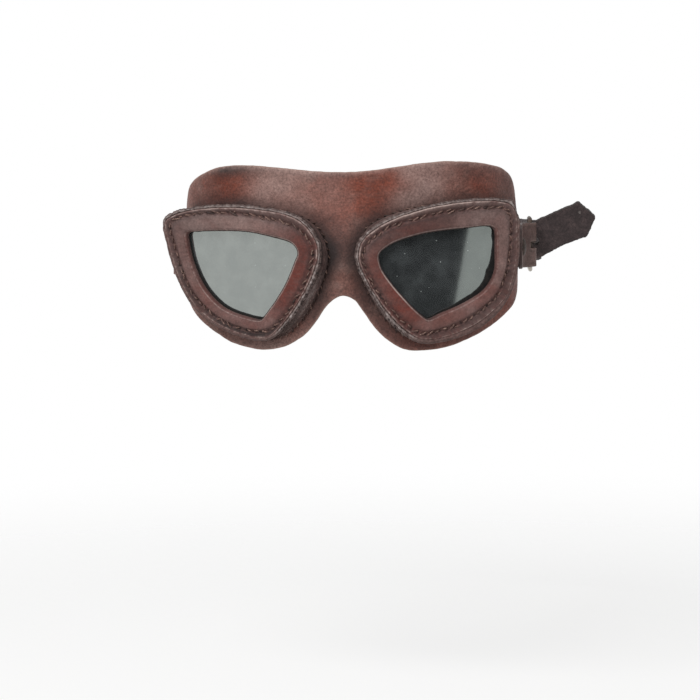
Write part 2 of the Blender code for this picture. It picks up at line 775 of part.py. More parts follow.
def build_strap():
    """The strap: a long band with a pointed free end and a row of holes."""
    path = strap_path()
    place = strap_place(path)
    half = strap_width / 2
    total = path.length + free_length
    low_cut, tip_height, high_cut = strap_tip_shares
    outline = [(0.0, strap_height - half), (0.0, strap_height + half),
               (total - low_cut * strap_width, strap_height + half),
               (total, strap_height + half - tip_height * strap_width),
               (total - high_cut * strap_width, strap_height - half)]
    prong_at = prong_hole_distance(path)
    holes = [round_hole(lap_length / 2, rivet_post + gap),
             oval_outline((prong_at + prong_hole_length / 6, strap_height),
                          prong_hole_length / 2, prong_hole_width / 2)]
    for k in range(1, hole_count + 1):
        holes.append(round_hole(prong_at - k * hole_pitch, hole_radius))
    creases = [((mark, 0.0), (1.0, 0.0), None) for mark in path.bend_steps(math.radians(8))]
    lean = (math.cos(fold_lean), -math.sin(fold_lean))
    for k in range(9):
        run = fold_radius * fold_angle * k / 8
        spot = (path.length + run / math.cos(fold_lean), strap_height)
        creases.append((spot, lean, None))
    shape = sheet_solid(outline, holes, strap_thick, creases, place, back=-strap_thick / 2)
    make_object("strap", shape, "strap leather")
    return place(prong_at, strap_height, 0.0)


def frame_corners():
    """The buckle frame's centre line: heel bar, sides and far bar, with round corners."""
    heel = np.array([bar_x, bar_y])
    ahead = unit(np.array([far_bar_x, bar_y + frame_pitch]) - heel)
    rounded = []
    for k, (along, height) in enumerate(((0, -1), (1, -1), (1, 1), (0, 1))):
        middle = (along * frame_pitch + (1 - 2 * along) * frame_corner,
                  height * (frame_half - frame_corner))
        start = math.pi + k * math.pi / 2
        rounded.extend(arc_points(middle, frame_corner, start, start + math.pi / 2, 6))
    return [(heel[0] + ahead[0] * a, heel[1] + ahead[1] * a, strap_height + h)
            for a, h in rounded]


def build_buckle(prong_height):
    """The frame, bent from one wire, and the prong that turns on its heel bar."""
    make_object("buckle_frame_left", tube_solid(frame_corners(), wire_radius, closed=True, sides=12),
                "nickel steel", smooth_below=math.radians(60))
    tip_y = bar_y + frame_pitch + wire_radius + prong_overhang
    eye_points = arc_points((bar_x, bar_y), prong_eye, math.radians(-285), 0.0, 20)
    run = [(prong_root_x + (prong_tip_x - prong_root_x) * k / 6, bar_y + (tip_y - bar_y) * k / 6)
           for k in range(1, 7)]
    points = [(x, y, prong_height) for x, y in eye_points + run]
    make_object("buckle_prong_left", tube_solid(points, prong_radius, sides=10),
                "nickel steel", smooth_below=math.radians(60))


def rivet_profile(length):
    """Domed head above the leather, then the post down to its tail."""
    dome = [(rivet_head * math.sin(a), rivet_dome * math.cos(a))
            for a in np.linspace(0.0, math.pi / 2, 7)]
    return dome + [(rivet_head, rivet_lift - gap), (rivet_post, rivet_lift - gap), (rivet_post, -length),
                   (0.0, -length)]


def burr_profile():
    """A flat washer with a round hole for the post."""
    inner = rivet_post + gap
    return [(inner, 0.0), (burr_radius, 0.0), (burr_radius, burr_thick), (inner, burr_thick),
            (inner, 0.0)]


def build_rivet(name, head_x, y, stack, outward):
    """A domed rivet along X through a stack of leather, with a burr at the other end."""
    base = (head_x + outward * gap, y, strap_height)
    length = stack + 2 * gap + burr_thick + rivet_tail
    make_object(f"{name}_rivet", turned_solid(rivet_profile(length), base, outward),
                "nickel steel", smooth_below=math.radians(50))
    burr_x = head_x - outward * (stack + gap + burr_thick)
    make_object(f"{name}_burr", turned_solid(burr_profile(), (burr_x, y, strap_height), outward),
                "nickel steel")


def build_rivets():
    """One rivet on each wing, in line with each other, and one that holds the strap."""
    leg = tab_thick + gap
    left_head = side_x + leg
    build_rivet("wing_left", left_head, pivot_y, mask_thick + 2 * leg, 1)
    build_rivet("wing_right", -left_head, pivot_y, mask_thick + leg, -1)
    build_rivet("strap_right", -tab_side_x, lap_start + lap_length / 2, leg + strap_thick, -1)


# Assembly
def main():
    """Build every piece, then hang the moving ones on their joints."""
    clear_scene()
    build_mask()
    for side_name in SIDES:
        cup = Cup(side_name)
        build_plate(f"front_plate_{side_name}", cup)
        build_wall(f"eyecup_wall_{side_name}", cup)
        build_lens_stack(side_name, cup)
        build_threads(side_name, cup)
    build_buckle_tab()
    build_strap_tab()
    prong_spot = build_strap()
    build_buckle(prong_spot[2])
    build_rivets()
    wing_pivot = make_pivot("wing_pivot", (0.0, pivot_y, strap_height))
    heel_bar_pivot = make_pivot("heel_bar_pivot", (bar_x, bar_y, strap_height), wing_pivot)
    hang_on(wing_pivot, ["buckle_tab_left", "strap_tab_right", "strap",
                         "strap_right_rivet", "strap_right_burr"])
    hang_on(heel_bar_pivot, ["buckle_frame_left", "buckle_prong_left"])


main()
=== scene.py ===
# %% [markdown]
# # Pilot goggles in hand-sewn brown leather
# A bent leather mask carries two eyecups. Each cup is a soft side wall with a stitched
# front plate, and a flat tinted lens sits behind the plate. A strap of rough-out leather
# closes with a pin buckle at the wearer's left temple.
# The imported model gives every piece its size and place. This script builds the leather
# again as finer meshes in those same places, sews it, and gives each surface its finish.

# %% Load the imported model
import math

import bmesh
import bpy
import numpy as np
from mathutils import Matrix, Vector, geometry, noise


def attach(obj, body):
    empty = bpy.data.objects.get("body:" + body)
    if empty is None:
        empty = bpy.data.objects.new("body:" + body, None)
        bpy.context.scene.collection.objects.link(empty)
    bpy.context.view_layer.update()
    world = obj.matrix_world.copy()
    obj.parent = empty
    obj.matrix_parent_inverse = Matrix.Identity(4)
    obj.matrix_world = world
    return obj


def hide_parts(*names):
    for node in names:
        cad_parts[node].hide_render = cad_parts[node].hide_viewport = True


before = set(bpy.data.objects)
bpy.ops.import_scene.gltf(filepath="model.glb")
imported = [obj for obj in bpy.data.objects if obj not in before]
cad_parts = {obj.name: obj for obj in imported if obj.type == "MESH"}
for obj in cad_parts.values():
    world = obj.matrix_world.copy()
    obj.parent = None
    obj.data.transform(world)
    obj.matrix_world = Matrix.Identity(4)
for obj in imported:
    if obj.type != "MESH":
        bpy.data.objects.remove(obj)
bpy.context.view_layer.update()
MM = 0.001

# %% [markdown]
# ## Camera
# The picture is taken from the front, a little above the goggles and a little to the
# wearer's left. A camera whose aim is given keeps its exact place, tilt and roll, and a
# long lens keeps the two cups at nearly the same size.

# %% Camera
CAMERA_TURN = math.radians(4.5)
CAMERA_RISE = math.radians(5.0)
CAMERA_ROLL = math.radians(-0.6)
CAMERA_SPOT = Vector((0.0895, -1.1067, 0.0560))
PICTURE_PIXELS = 700
FOCAL_PIXELS = 2530
SENSOR_MM = 36.0


def make_camera():
    """A camera that looks along its own direction with a small roll."""
    back = Vector((math.sin(CAMERA_TURN) * math.cos(CAMERA_RISE),
                   -math.cos(CAMERA_TURN) * math.cos(CAMERA_RISE),
                   math.sin(CAMERA_RISE)))
    level = Vector((math.cos(CAMERA_TURN), math.sin(CAMERA_TURN), 0.0))
    raised = back.cross(level)
    right = level * math.cos(CAMERA_ROLL) + raised * math.sin(CAMERA_ROLL)
    data = bpy.data.cameras.new("camera")
    data.sensor_width = SENSOR_MM
    data.lens = FOCAL_PIXELS / PICTURE_PIXELS * SENSOR_MM
    made = bpy.data.objects.new("camera", data)
    turn = Matrix((right, back.cross(right), back)).transposed()
    made.matrix_world = Matrix.Translation(CAMERA_SPOT) @ turn.to_4x4()
    bpy.context.scene.collection.objects.link(made)
    bpy.context.scene.camera = made
    return made


camera = make_camera()
bpy.context.scene.view_settings.view_transform = "Standard"
print("camera lens:", round(camera.data.lens, 1), "mm")

# %% [markdown]
# ## Colours and nodes
# Colours are written as the sRGB hex values a painter would pick, and one function turns
# them into the linear light that the renderer works in. One more function adds a node,
# sets its options and fills its inputs, so that each material reads as a short recipe.


# %% Colour and node helpers
def linear(hex_colour):
    """A hex colour as linear red, green, blue and alpha."""
    shares = [int(hex_colour[i:i + 2], 16) / 255 for i in (1, 3, 5)]
    return (*[c / 12.92 if c <= 0.04045 else ((c + 0.055) / 1.055) ** 2.4 for c in shares], 1.0)


def output_of(source):
    """The socket itself, or a node's first output that is in use."""
    if isinstance(source, bpy.types.NodeSocket):
        return source
    return next(socket for socket in source.outputs if socket.enabled)


def fill(tree, node, inputs):
    """Fill a node's inputs, each with a value, a hex colour, another node or its socket."""
    for key, value in inputs.items():
        if isinstance(value, (bpy.types.Node, bpy.types.NodeSocket)):
            tree.links.new(output_of(value), node.inputs[key])
        else:
            node.inputs[key].default_value = linear(value) if isinstance(value, str) else value


def add(tree, kind, inputs=None, options=None, stops=None):
    """Add a node with its inputs, its options and, on a colour ramp, its stops."""
    made = tree.nodes.new(kind)
    for key, value in (options or {}).items():
        setattr(made, key, value)
    fill(tree, made, inputs or {})
    if stops:
        ramp = made.color_ramp
        while len(ramp.elements) < len(stops):
            ramp.elements.new(0.5)
        for element, (place, colour) in zip(ramp.elements, stops):
            element.position = place
            element.color = linear(colour)
    return made


def start_material(name):
    """A new material with its node tree and its Principled surface."""
    made = bpy.data.materials.new(name)
    made.use_nodes = True
    return made, made.node_tree, made.node_tree.nodes["Principled BSDF"]


print("mid grey, sRGB #808080, is", round(linear("#808080")[0], 3), "in linear light")

# %% [markdown]
# ## Background
# Product photos have a plain white background. More lamps would wash the leather out, so
# the world lights the goggles softly, and Light Path lets the camera, the glass and the
# metal see it as pure white instead.

# %% Background
WORLD_LIGHT = 0.44


def make_world():
    """Soft light for the object, and plain white for the camera, glass and metal."""
    world = bpy.data.worlds.new("white_room")
    world.use_nodes = True
    tree = world.node_tree
    rays = add(tree, "ShaderNodeLightPath")
    seen = add(tree, "ShaderNodeMath", {0: rays.outputs["Is Camera Ray"],
                                        1: rays.outputs["Is Glossy Ray"]},
               {"operation": "MAXIMUM"})
    seen = add(tree, "ShaderNodeMath", {0: seen, 1: rays.outputs["Is Transmission Ray"]},
               {"operation": "MAXIMUM"})
    level = add(tree, "ShaderNodeMapRange", {"Value": seen, "To Min": WORLD_LIGHT, "To Max": 1.0})
    fill(tree, tree.nodes["Background"], {"Color": "#FFFFFF", "Strength": level})
    bpy.context.scene.world = world


make_world()
print("the world lights the leather at", WORLD_LIGHT, "and is seen at 1")

# %% [markdown]
# ## Table
# The goggles are held at wearing height above a table of white laminate: pressed smooth,
# nearly matte, with a faint satin shine. A square table would show its edge as a horizon,
# so this one is a disc that turns clear towards its edge. Part of its white comes from a
# glow that only the camera sees, and the rest is lit, so it keeps the goggles' soft shadow.

# %% Table
TABLE_DROP, TABLE_BACK = 0.205, 0.08
TABLE_RADIUS = 0.75
TABLE_GLOW = 0.6


def make_table():
    """A pale disc that fades out towards its edge."""
    shape = bmesh.new()
    bmesh.ops.create_circle(shape, cap_ends=True, segments=96, radius=TABLE_RADIUS)
    mesh = bpy.data.meshes.new("table")
    shape.to_mesh(mesh)
    shape.free()
    table = bpy.data.objects.new("table", mesh)
    table.location = (0.0, TABLE_BACK, -TABLE_DROP)
    bpy.context.scene.collection.objects.link(table)
    made, tree, surface = start_material("white_laminate")
    fill(tree, surface, {"Base Color": "#FBFBFA", "Roughness": 0.7, "Specular IOR Level": 0.2})
    spot = add(tree, "ShaderNodeTexCoord").outputs["Object"]
    away = add(tree, "ShaderNodeVectorMath", {0: spot}, {"operation": "LENGTH"})
    fade_out = add(tree, "ShaderNodeMapRange",
                   {"Value": away.outputs["Value"], "From Min": 0.25 * TABLE_RADIUS,
                    "From Max": TABLE_RADIUS, "To Min": 1.0, "To Max": 0.0},
                   {"interpolation_type": "SMOOTHSTEP"})
    clear = add(tree, "ShaderNodeBsdfTransparent")
    seen = add(tree, "ShaderNodeLightPath").outputs["Is Camera Ray"]
    share = add(tree, "ShaderNodeMath", {0: seen, 1: TABLE_GLOW}, {"operation": "MULTIPLY"})
    white = add(tree, "ShaderNodeEmission", {"Color": "#FFFFFF", "Strength": 1.0})
    bright = add(tree, "ShaderNodeMixShader", {0: share, 1: surface, 2: white})
    mixed = add(tree, "ShaderNodeMixShader", {0: fade_out, 1: clear, 2: bright})
    fill(tree, tree.nodes["Material Output"], {"Surface": mixed})
    mesh.materials.append(made)


make_table()
print("table:", round(TABLE_DROP / MM), "mm below the bridge of the goggles")

# %% [markdown]
# ## Lamps
# Two large square lamps give the leather its shape: a strong one high on the left and a
# weak one on the right. Large lamps were chosen because their shadows have soft edges.


# %% Lamps
def make_lamp(name, spot, size, watts):
    """A square soft lamp that points at the bridge of the goggles."""
    data = bpy.data.lights.new(name, "AREA")
    data.shape = "SQUARE"
    data.size = size
    data.energy = watts
    made = bpy.data.objects.new(name, data)
    made.location = spot
    made.rotation_mode = "QUATERNION"
    made.rotation_quaternion = Vector(spot).to_track_quat("Z", "Y")
    bpy.context.scene.collection.objects.link(made)


LAMPS = [("key_lamp", (-0.60, -1.20, 1.25), 1.0, 26.0),
         ("fill_lamp", (1.10, -1.00, 0.45), 0.9, 2.0)]
for lamp in LAMPS:
    make_lamp(*lamp)
print("lamps:", ", ".join(f"{lamp[0]} {lamp[-1]} W" for lamp in LAMPS))

# %% [markdown]
# ## Cards for the lenses to mirror
# A photographer sets up matte cards to choose what a shiny surface mirrors. Here three
# cards stand beside the camera. Each glows with its own shade, and only reflections see
# them, so they paint the reflections in the lenses. A black one on the right makes most of
# the wearer's left lens look dark. A grey one beside it gives that lens its pale end, and a
# pale one on the left is what the other lens mirrors.

# %% Cards
# Black meets grey along a line that leans, at this x and y where it is CARD_LINE_Z high.
CARD_LINE_X, CARD_LINE_Y, CARD_LINE_Z = 0.506, -0.769, -0.086
CARD_LEAN, CARD_SLANT = 0.143, math.tan(math.radians(29.5))
CARD_LOW, CARD_HIGH = -0.26, 0.04


def right_corners(left, right):
    """A leaning strip of the right-hand cards, between two places across them."""
    corners = []
    for across, height in ((left, CARD_LOW), (right, CARD_LOW), (right, CARD_HIGH),
                           (left, CARD_HIGH)):
        x = CARD_LINE_X + across + CARD_LEAN * (height - CARD_LINE_Z)
        corners.append((x, CARD_LINE_Y + CARD_SLANT * (x - CARD_LINE_X), height))
    return corners


def make_card(name, corners, shade):
    """A glowing card that only reflections see, so it paints a reflection."""
    mesh = bpy.data.meshes.new(name)
    mesh.from_pydata(corners, [], [(0, 1, 2, 3)])
    made, tree, surface = start_material(name)
    fill(tree, surface, {"Base Color": "#000000", "Specular IOR Level": 0.0,
                         "Emission Color": shade, "Emission Strength": 1.0})
    mesh.materials.append(made)
    card = bpy.data.objects.new(name, mesh)
    for ray in ("camera", "diffuse", "transmission", "shadow"):
        setattr(card, f"visible_{ray}", False)
    bpy.context.scene.collection.objects.link(card)


CARDS = [("black_card", right_corners(-0.17, 0.0), "#060707"),
         ("grey_card", right_corners(0.0, 0.12), "#C9D2CC"),
         ("pale_card", [(-0.80, -0.30, -0.35), (-0.20, -0.90, -0.35), (-0.20, -0.90, 0.25),
                        (-0.80, -0.30, 0.25)], "#F4FBF5")]
for card in CARDS:
    make_card(*card)
print("cards:", ", ".join(card[0] for card in CARDS))

# %% [markdown]
# ## Leather
# Vegetable-tanned cowhide, dyed brown by hand and waxed. The dye takes unevenly, so the
# colour drifts over centimetres between red brown and grey brown, with finer mottling
# over it. The grain is a net of fine cells near 1 mm. Wax gives a soft shine that breaks
# up with the mottling. A painted image could hold all this, but nodes stay sharp at any
# size. Four marks on the meshes steer the finish: where the leather is worn pale and where
# highlights are painted, where dirt gathers and where shade is painted, where the cut edge
# shows, and where the dye is redder.

# %% Leather recipe
# Patterns are laid out on the piece itself, so that they move with it.
COORDS = "Object"


def leather(name, tones, worn_and_lit, grime, raw, flush, drift_mm, grain_mm, speckle, shine):
    """Dyed leather: drifting dye, mottling, marks, grain and a broken wax shine."""
    made, tree, surface = start_material(name)
    place = add(tree, "ShaderNodeTexCoord").outputs[COORDS]
    marks = {key: add(tree, "ShaderNodeAttribute", options={"attribute_name": key}).outputs["Fac"]
             for key in ("flush", "wear", "grime", "raw")}
    drift = add(tree, "ShaderNodeTexNoise",
                {"Vector": place, "Scale": 1 / (drift_mm * MM), "Detail": 3.0,
                 "Roughness": 0.6, "Distortion": 0.4})
    colour = add(tree, "ShaderNodeValToRGB", {"Fac": drift},
                 stops=list(zip((0.32, 0.50, 0.68), tones)))
    # The pores are near 0.2 mm, too fine to be seen, so they are drawn at 1 mm.
    pores = add(tree, "ShaderNodeTexNoise",
                {"Vector": place, "Scale": 1 / (1.0 * MM), "Detail": 3.0, "Roughness": 0.8})
    mottle = add(tree, "ShaderNodeTexNoise",
                 {"Vector": place, "Scale": 1 / (3.6 * MM), "Detail": 6.0, "Roughness": 0.7})
    specks = add(tree, "ShaderNodeMapRange",
                 {"Value": pores, "From Min": 0.34, "From Max": 0.66,
                  "To Min": 1 - speckle, "To Max": 1 + speckle})
    clouds = add(tree, "ShaderNodeMapRange",
                 {"Value": mottle, "From Min": 0.32, "From Max": 0.68,
                  "To Min": 0.80, "To Max": 1.20})
    shade = add(tree, "ShaderNodeMath", {0: specks, 1: clouds}, {"operation": "MULTIPLY"})
    # Dye is rubbed in with strokes along the piece, so the redder places are streaky.
    drawn = add(tree, "ShaderNodeMapping", {"Vector": place, "Scale": (1.0, 1.0, 2.2)})
    brush = add(tree, "ShaderNodeTexNoise",
                {"Vector": drawn, "Scale": 1 / (8 * MM), "Detail": 6.0, "Roughness": 0.7})
    brushed = add(tree, "ShaderNodeMapRange",
                  {"Value": brush, "From Min": 0.38, "From Max": 0.58,
                   "To Min": 0.6, "To Max": 1.0})
    redder = add(tree, "ShaderNodeMath", {0: marks["flush"], 1: brushed},
                 {"operation": "MULTIPLY"})
    scuff_and_highlight = add(tree, "ShaderNodeMath", {0: marks["wear"], 1: shade}, {"operation": "MULTIPLY"})
    colour = add(tree, "ShaderNodeMix", {0: redder, 6: colour, 7: flush}, {"data_type": "RGBA"})
    colour = add(tree, "ShaderNodeMix", {0: 1.0, 6: colour, 7: shade},
                 {"data_type": "RGBA", "blend_type": "MULTIPLY"})
    for share, over in ((marks["grime"], grime), (scuff_and_highlight, worn_and_lit), (marks["raw"], raw)):
        colour = add(tree, "ShaderNodeMix", {0: share, 6: colour, 7: over},
                     {"data_type": "RGBA"})
    rough = add(tree, "ShaderNodeMapRange",
                {"Value": mottle, "From Min": 0.3, "From Max": 0.7,
                 "To Min": shine + 0.10, "To Max": shine - 0.06})
    dull = add(tree, "ShaderNodeMath", {0: marks["grime"], 1: 0.25, 2: rough},
               {"operation": "MULTIPLY_ADD"})
    grain = add(tree, "ShaderNodeTexVoronoi",
                {"Vector": place, "Scale": 1 / (grain_mm * MM), "Randomness": 1.0},
                {"feature": "SMOOTH_F1"})
    fine = add(tree, "ShaderNodeBump",
               {"Height": grain.outputs["Distance"], "Strength": 0.5, "Distance": 0.3 * MM})
    folds = add(tree, "ShaderNodeTexNoise",
                {"Vector": place, "Scale": 1 / (5.5 * MM), "Detail": 4.0, "Roughness": 0.55})
    broad = add(tree, "ShaderNodeBump",
                {"Height": folds, "Strength": 0.45, "Distance": 1.2 * MM, "Normal": fine})
    fill(tree, surface, {"Base Color": colour, "Roughness": dull, "Normal": broad,
                         "Specular IOR Level": 0.32})
    return made


print("the leather recipe reads 4 marks: flush, wear, grime and raw")

# %% Leathers of the mask, the cups and the tabs
MASK_LEATHER = leather(
    "waxed_veg_tan_mask_leather", ("#5D3932", "#754D44", "#856860"), worn_and_lit="#A68D86",
    grime="#2A201F", raw="#8A6E62", flush="#74311B", drift_mm=26, grain_mm=1.1,
    speckle=0.42, shine=0.54)
CUP_LEATHER = leather(
    "waxed_veg_tan_cup_leather", ("#543C38", "#644A46", "#725C58"), worn_and_lit="#AD9992",
    grime="#271C1B", raw="#4A352F", flush="#5E271D", drift_mm=17, grain_mm=0.9,
    speckle=0.24, shine=0.55)
EDGE_LEATHER = leather(
    "rubbed_edge_leather", ("#4C3A37", "#5E4D49", "#70605C"), worn_and_lit="#A39996",
    grime="#271D1C", raw="#4A352F", flush="#5E433E", drift_mm=5, grain_mm=0.8,
    speckle=0.34, shine=0.62)
TAB_LEATHER = leather(
    "waxed_dark_tab_leather", ("#4C3733", "#5A4540", "#69514C"), worn_and_lit="#84706A",
    grime="#221A19", raw="#3A2A27", flush="#5A3A32", drift_mm=12, grain_mm=0.9,
    speckle=0.30, shine=0.52)
print("leathers:", MASK_LEATHER.name, CUP_LEATHER.name, EDGE_LEATHER.name, TAB_LEATHER.name)

# %% [markdown]
# ## Rough-out leather
# The strap shows the flesh side of the hide, split and never polished. Short fibres
# stand up on it, so it has no shine, its colour is broken by fine light and dark specks,
# and its edges look fuzzy. Real fibres as hair would be slow and far too fine to see, so
# specks, a little sheen and the strap's frayed outline stand in for them.


# %% Rough-out leather
def rough_out(name):
    """Suede-like flesh side: no shine, fine fibres."""
    made, tree, surface = start_material(name)
    place = add(tree, "ShaderNodeTexCoord").outputs[COORDS]
    marks = {key: add(tree, "ShaderNodeAttribute", options={"attribute_name": key}).outputs["Fac"]
             for key in ("wear", "raw")}
    # Single fibres are far too fine to be seen, so the nap is drawn in 1.2 mm tufts.
    nap = add(tree, "ShaderNodeTexNoise",
              {"Vector": place, "Scale": 1 / (1.2 * MM), "Detail": 4.0, "Roughness": 0.8})
    patch = add(tree, "ShaderNodeTexNoise",
                {"Vector": place, "Scale": 1 / (6 * MM), "Detail": 4.0, "Roughness": 0.65})
    tone = add(tree, "ShaderNodeValToRGB", {"Fac": patch},
               stops=[(0.36, "#332A2A"), (0.52, "#3E3333"), (0.66, "#4B3E3D")])
    tufts = add(tree, "ShaderNodeMapRange",
                {"Value": nap, "From Min": 0.34, "From Max": 0.66, "To Min": 0.60, "To Max": 1.45})
    colour = add(tree, "ShaderNodeMix", {0: 1.0, 6: tone, 7: tufts},
                 {"data_type": "RGBA", "blend_type": "MULTIPLY"})
    colour = add(tree, "ShaderNodeMix", {0: marks["raw"], 6: colour, 7: "#241B19"},
                 {"data_type": "RGBA"})
    nick = add(tree, "ShaderNodeMapRange",
               {"Value": marks["wear"], "From Min": 0.45, "From Max": 0.80})
    colour = add(tree, "ShaderNodeMix", {0: nick, 6: colour, 7: "#D2CCC6"},
                 {"data_type": "RGBA"})
    fibres = add(tree, "ShaderNodeBump",
                 {"Height": nap, "Strength": 0.8, "Distance": 0.5 * MM})
    fill(tree, surface, {"Base Color": colour, "Normal": fibres, "Roughness": 0.95,
                         "Specular IOR Level": 0.20, "Sheen Weight": 0.15,
                         "Sheen Roughness": 0.6})
    return made


ROUGH_OUT = rough_out("rough_out_strap_leather")
print("strap:", ROUGH_OUT.name)

# %% [markdown]
# ## Waxed linen thread
# Two plies of spun linen, drawn through dark wax. The wax leaves a dull gloss. Dirt sticks
# to it and darkens some stitches more than others, and the stitches at the wall's foot are
# painted dark with shade. The twist of the plies is in the mesh of each stitch, so the
# material only adds the fibres.


# %% Waxed linen thread
def waxed_thread(name):
    """Two-ply waxed linen: brown, and dark where dirt sticks to the wax and where shade is painted
    on it.
    """
    made, tree, surface = start_material(name)
    place = add(tree, "ShaderNodeTexCoord").outputs[COORDS]
    # Linen fibres are about 0.02 mm thick, so they are drawn as 0.9 mm streaks of colour.
    fibre = add(tree, "ShaderNodeTexNoise",
                {"Vector": place, "Scale": 1 / (0.9 * MM), "Detail": 4.0, "Roughness": 0.7})
    colour = add(tree, "ShaderNodeValToRGB", {"Fac": fibre},
                 stops=[(0.36, "#3F2B27"), (0.50, "#654B43"), (0.66, "#91776C")])
    dirt_and_shade = add(tree, "ShaderNodeAttribute", options={"attribute_name": "grime"}).outputs["Fac"]
    colour = add(tree, "ShaderNodeMix", {0: dirt_and_shade, 6: colour, 7: "#30201D"}, {"data_type": "RGBA"})
    ply = add(tree, "ShaderNodeBump", {"Height": fibre, "Strength": 0.6, "Distance": 0.3 * MM})
    fill(tree, surface, {"Base Color": colour, "Normal": ply, "Roughness": 0.6,
                         "Specular IOR Level": 0.35})
    return made


THREAD = waxed_thread("waxed_linen_thread")
print("stitches:", THREAD.name)

# %% [markdown]
# ## Smoked glass
# Float glass, smoked nearly black and coated with a half-mirror of metal. Float glass is
# flat and smooth, so it mirrors sharply, and hardly any light comes through it. Plain
# glass mirrors only a few parts in a hundred, so a coat with a high IOR stands in for the
# metal film. Haze and specks of dust keep the black from looking empty.


# %% Smoked glass
def smoke_glass(name):
    """Nearly opaque smoked glass under a thin mirror coat, hazed and dusty."""
    made, tree, surface = start_material(name)
    place = add(tree, "ShaderNodeTexCoord").outputs[COORDS]
    smear = add(tree, "ShaderNodeTexNoise",
                {"Vector": place, "Scale": 1 / (8 * MM), "Detail": 4.0, "Roughness": 0.62})
    haze = add(tree, "ShaderNodeValToRGB", {"Fac": smear},
               stops=[(0.40, "#3E4142"), (0.54, "#46494A"), (0.68, "#505455")])
    # Dust is finer than this; a grain in every fourth or fifth cell of 1.7 mm can be seen.
    grit = add(tree, "ShaderNodeTexVoronoi",
               {"Vector": place, "Scale": 1 / (1.7 * MM), "Randomness": 1.0})
    pick = add(tree, "ShaderNodeSeparateColor", {0: grit.outputs["Color"]})
    size = add(tree, "ShaderNodeMapRange",
               {"Value": pick, "From Min": 0.78, "From Max": 1.0, "To Min": 0.0, "To Max": 0.16})
    speck = add(tree, "ShaderNodeMath", {0: grit.outputs["Distance"], 1: size},
                {"operation": "LESS_THAN"})
    colour = add(tree, "ShaderNodeMix", {0: speck, 6: haze, 7: "#969C9A"}, {"data_type": "RGBA"})
    clear = add(tree, "ShaderNodeMapRange", {"Value": speck, "To Min": 0.12, "To Max": 0.0})
    wiped = add(tree, "ShaderNodeMapRange",
                {"Value": smear, "From Min": 0.36, "From Max": 0.64,
                 "To Min": 1.0, "To Max": 0.80})
    thin = add(tree, "ShaderNodeMath", {0: speck, 1: -0.5, 2: wiped},
               {"operation": "MULTIPLY_ADD"})
    fill(tree, surface, {"Base Color": colour, "Transmission Weight": clear, "Roughness": 0.02,
                         "IOR": 1.5, "Coat Weight": thin, "Coat IOR": 3.35,
                         "Coat Roughness": 0.03})
    return made


GLASS = smoke_glass("mirrored_smoke_glass")
print("lenses:", GLASS.name)

# %% [markdown]
# ## Gasket rubber
# Black rubber, moulded in an unpolished mould. It is nearly matte, and an old gasket has a
# dusty grey bloom that comes and goes over a few millimetres.


# %% Gasket rubber
def gasket_rubber(name):
    """Black moulded rubber, matte, with a faint dusty bloom."""
    made, tree, surface = start_material(name)
    place = add(tree, "ShaderNodeTexCoord").outputs[COORDS]
    bloom = add(tree, "ShaderNodeTexNoise",
                {"Vector": place, "Scale": 1 / (2 * MM), "Detail": 5.0})
    colour = add(tree, "ShaderNodeValToRGB", {"Fac": bloom},
                 stops=[(0.40, "#080707"), (0.66, "#1C1917")])
    rough = add(tree, "ShaderNodeMapRange", {"Value": bloom, "To Min": 0.6, "To Max": 0.85})
    fill(tree, surface, {"Base Color": colour, "Roughness": rough, "Specular IOR Level": 0.2})
    return made


RUBBER = gasket_rubber("moulded_gasket_rubber")
print("gaskets:", RUBBER.name)

# %% [markdown]
# ## Plated steel and brass
# The buckle is bent from nickel-plated steel wire, and the rivets are turned from brass.
# Both have gone brown with tarnish, wax and dirt, so they look dull until something rubs
# them bare. One recipe serves both: a height in the scene splits the bare metal from the
# brown, and fine patches break the line between them.


# %% Plated steel and brass
def aged_metal(name, tarnish, bare, rub_low, rub_high):
    """Metal with brown tarnish; below one height and up to another it is rubbed bare."""
    made, tree, surface = start_material(name)
    place = add(tree, "ShaderNodeTexCoord").outputs[COORDS]
    haze = add(tree, "ShaderNodeTexNoise",
               {"Vector": place, "Scale": 1 / (1.8 * MM), "Detail": 6.0, "Roughness": 0.65})
    height = add(tree, "ShaderNodeSeparateXYZ", {0: place}).outputs["Z"]
    rubbed = add(tree, "ShaderNodeMapRange",
                 {"Value": height, "From Min": rub_low, "From Max": rub_high,
                  "To Min": 1.0, "To Max": 0.0})
    patchy = add(tree, "ShaderNodeMapRange",
                 {"Value": haze, "From Min": 0.35, "From Max": 0.6, "To Min": 0.6, "To Max": 1.0})
    share = add(tree, "ShaderNodeMath", {0: rubbed, 1: patchy}, {"operation": "MULTIPLY"})
    dark = add(tree, "ShaderNodeValToRGB", {"Fac": haze},
               stops=[(0.36, tarnish[0]), (0.64, tarnish[1])])
    colour = add(tree, "ShaderNodeMix", {0: share, 6: dark, 7: bare}, {"data_type": "RGBA"})
    # Wax and dirt cover the metal where nothing rubs it.
    bright = add(tree, "ShaderNodeMapRange", {"Value": share, "To Min": 0.35, "To Max": 1.0})
    rough = add(tree, "ShaderNodeMapRange", {"Value": share, "To Min": 0.62, "To Max": 0.25})
    dents = add(tree, "ShaderNodeBump", {"Height": haze, "Strength": 0.15, "Distance": 0.2 * MM})
    fill(tree, surface, {"Base Color": colour, "Metallic": bright, "Roughness": rough,
                         "Normal": dents})
    return made


# The thumb rubs the buckle's lower end. No rivet lies 50 mm down, so they stay brown.
NICKEL = aged_metal("worn_nickel_plated_steel", ("#362B23", "#54463D"), "#D2CCC3",
                    -11 * MM, -6 * MM)
RIVET_BRASS = aged_metal("browned_rivet_brass", ("#2A201C", "#43352E"), "#6E5C4C",
                         -60 * MM, -50 * MM)
print("metal:", NICKEL.name, RIVET_BRASS.name)

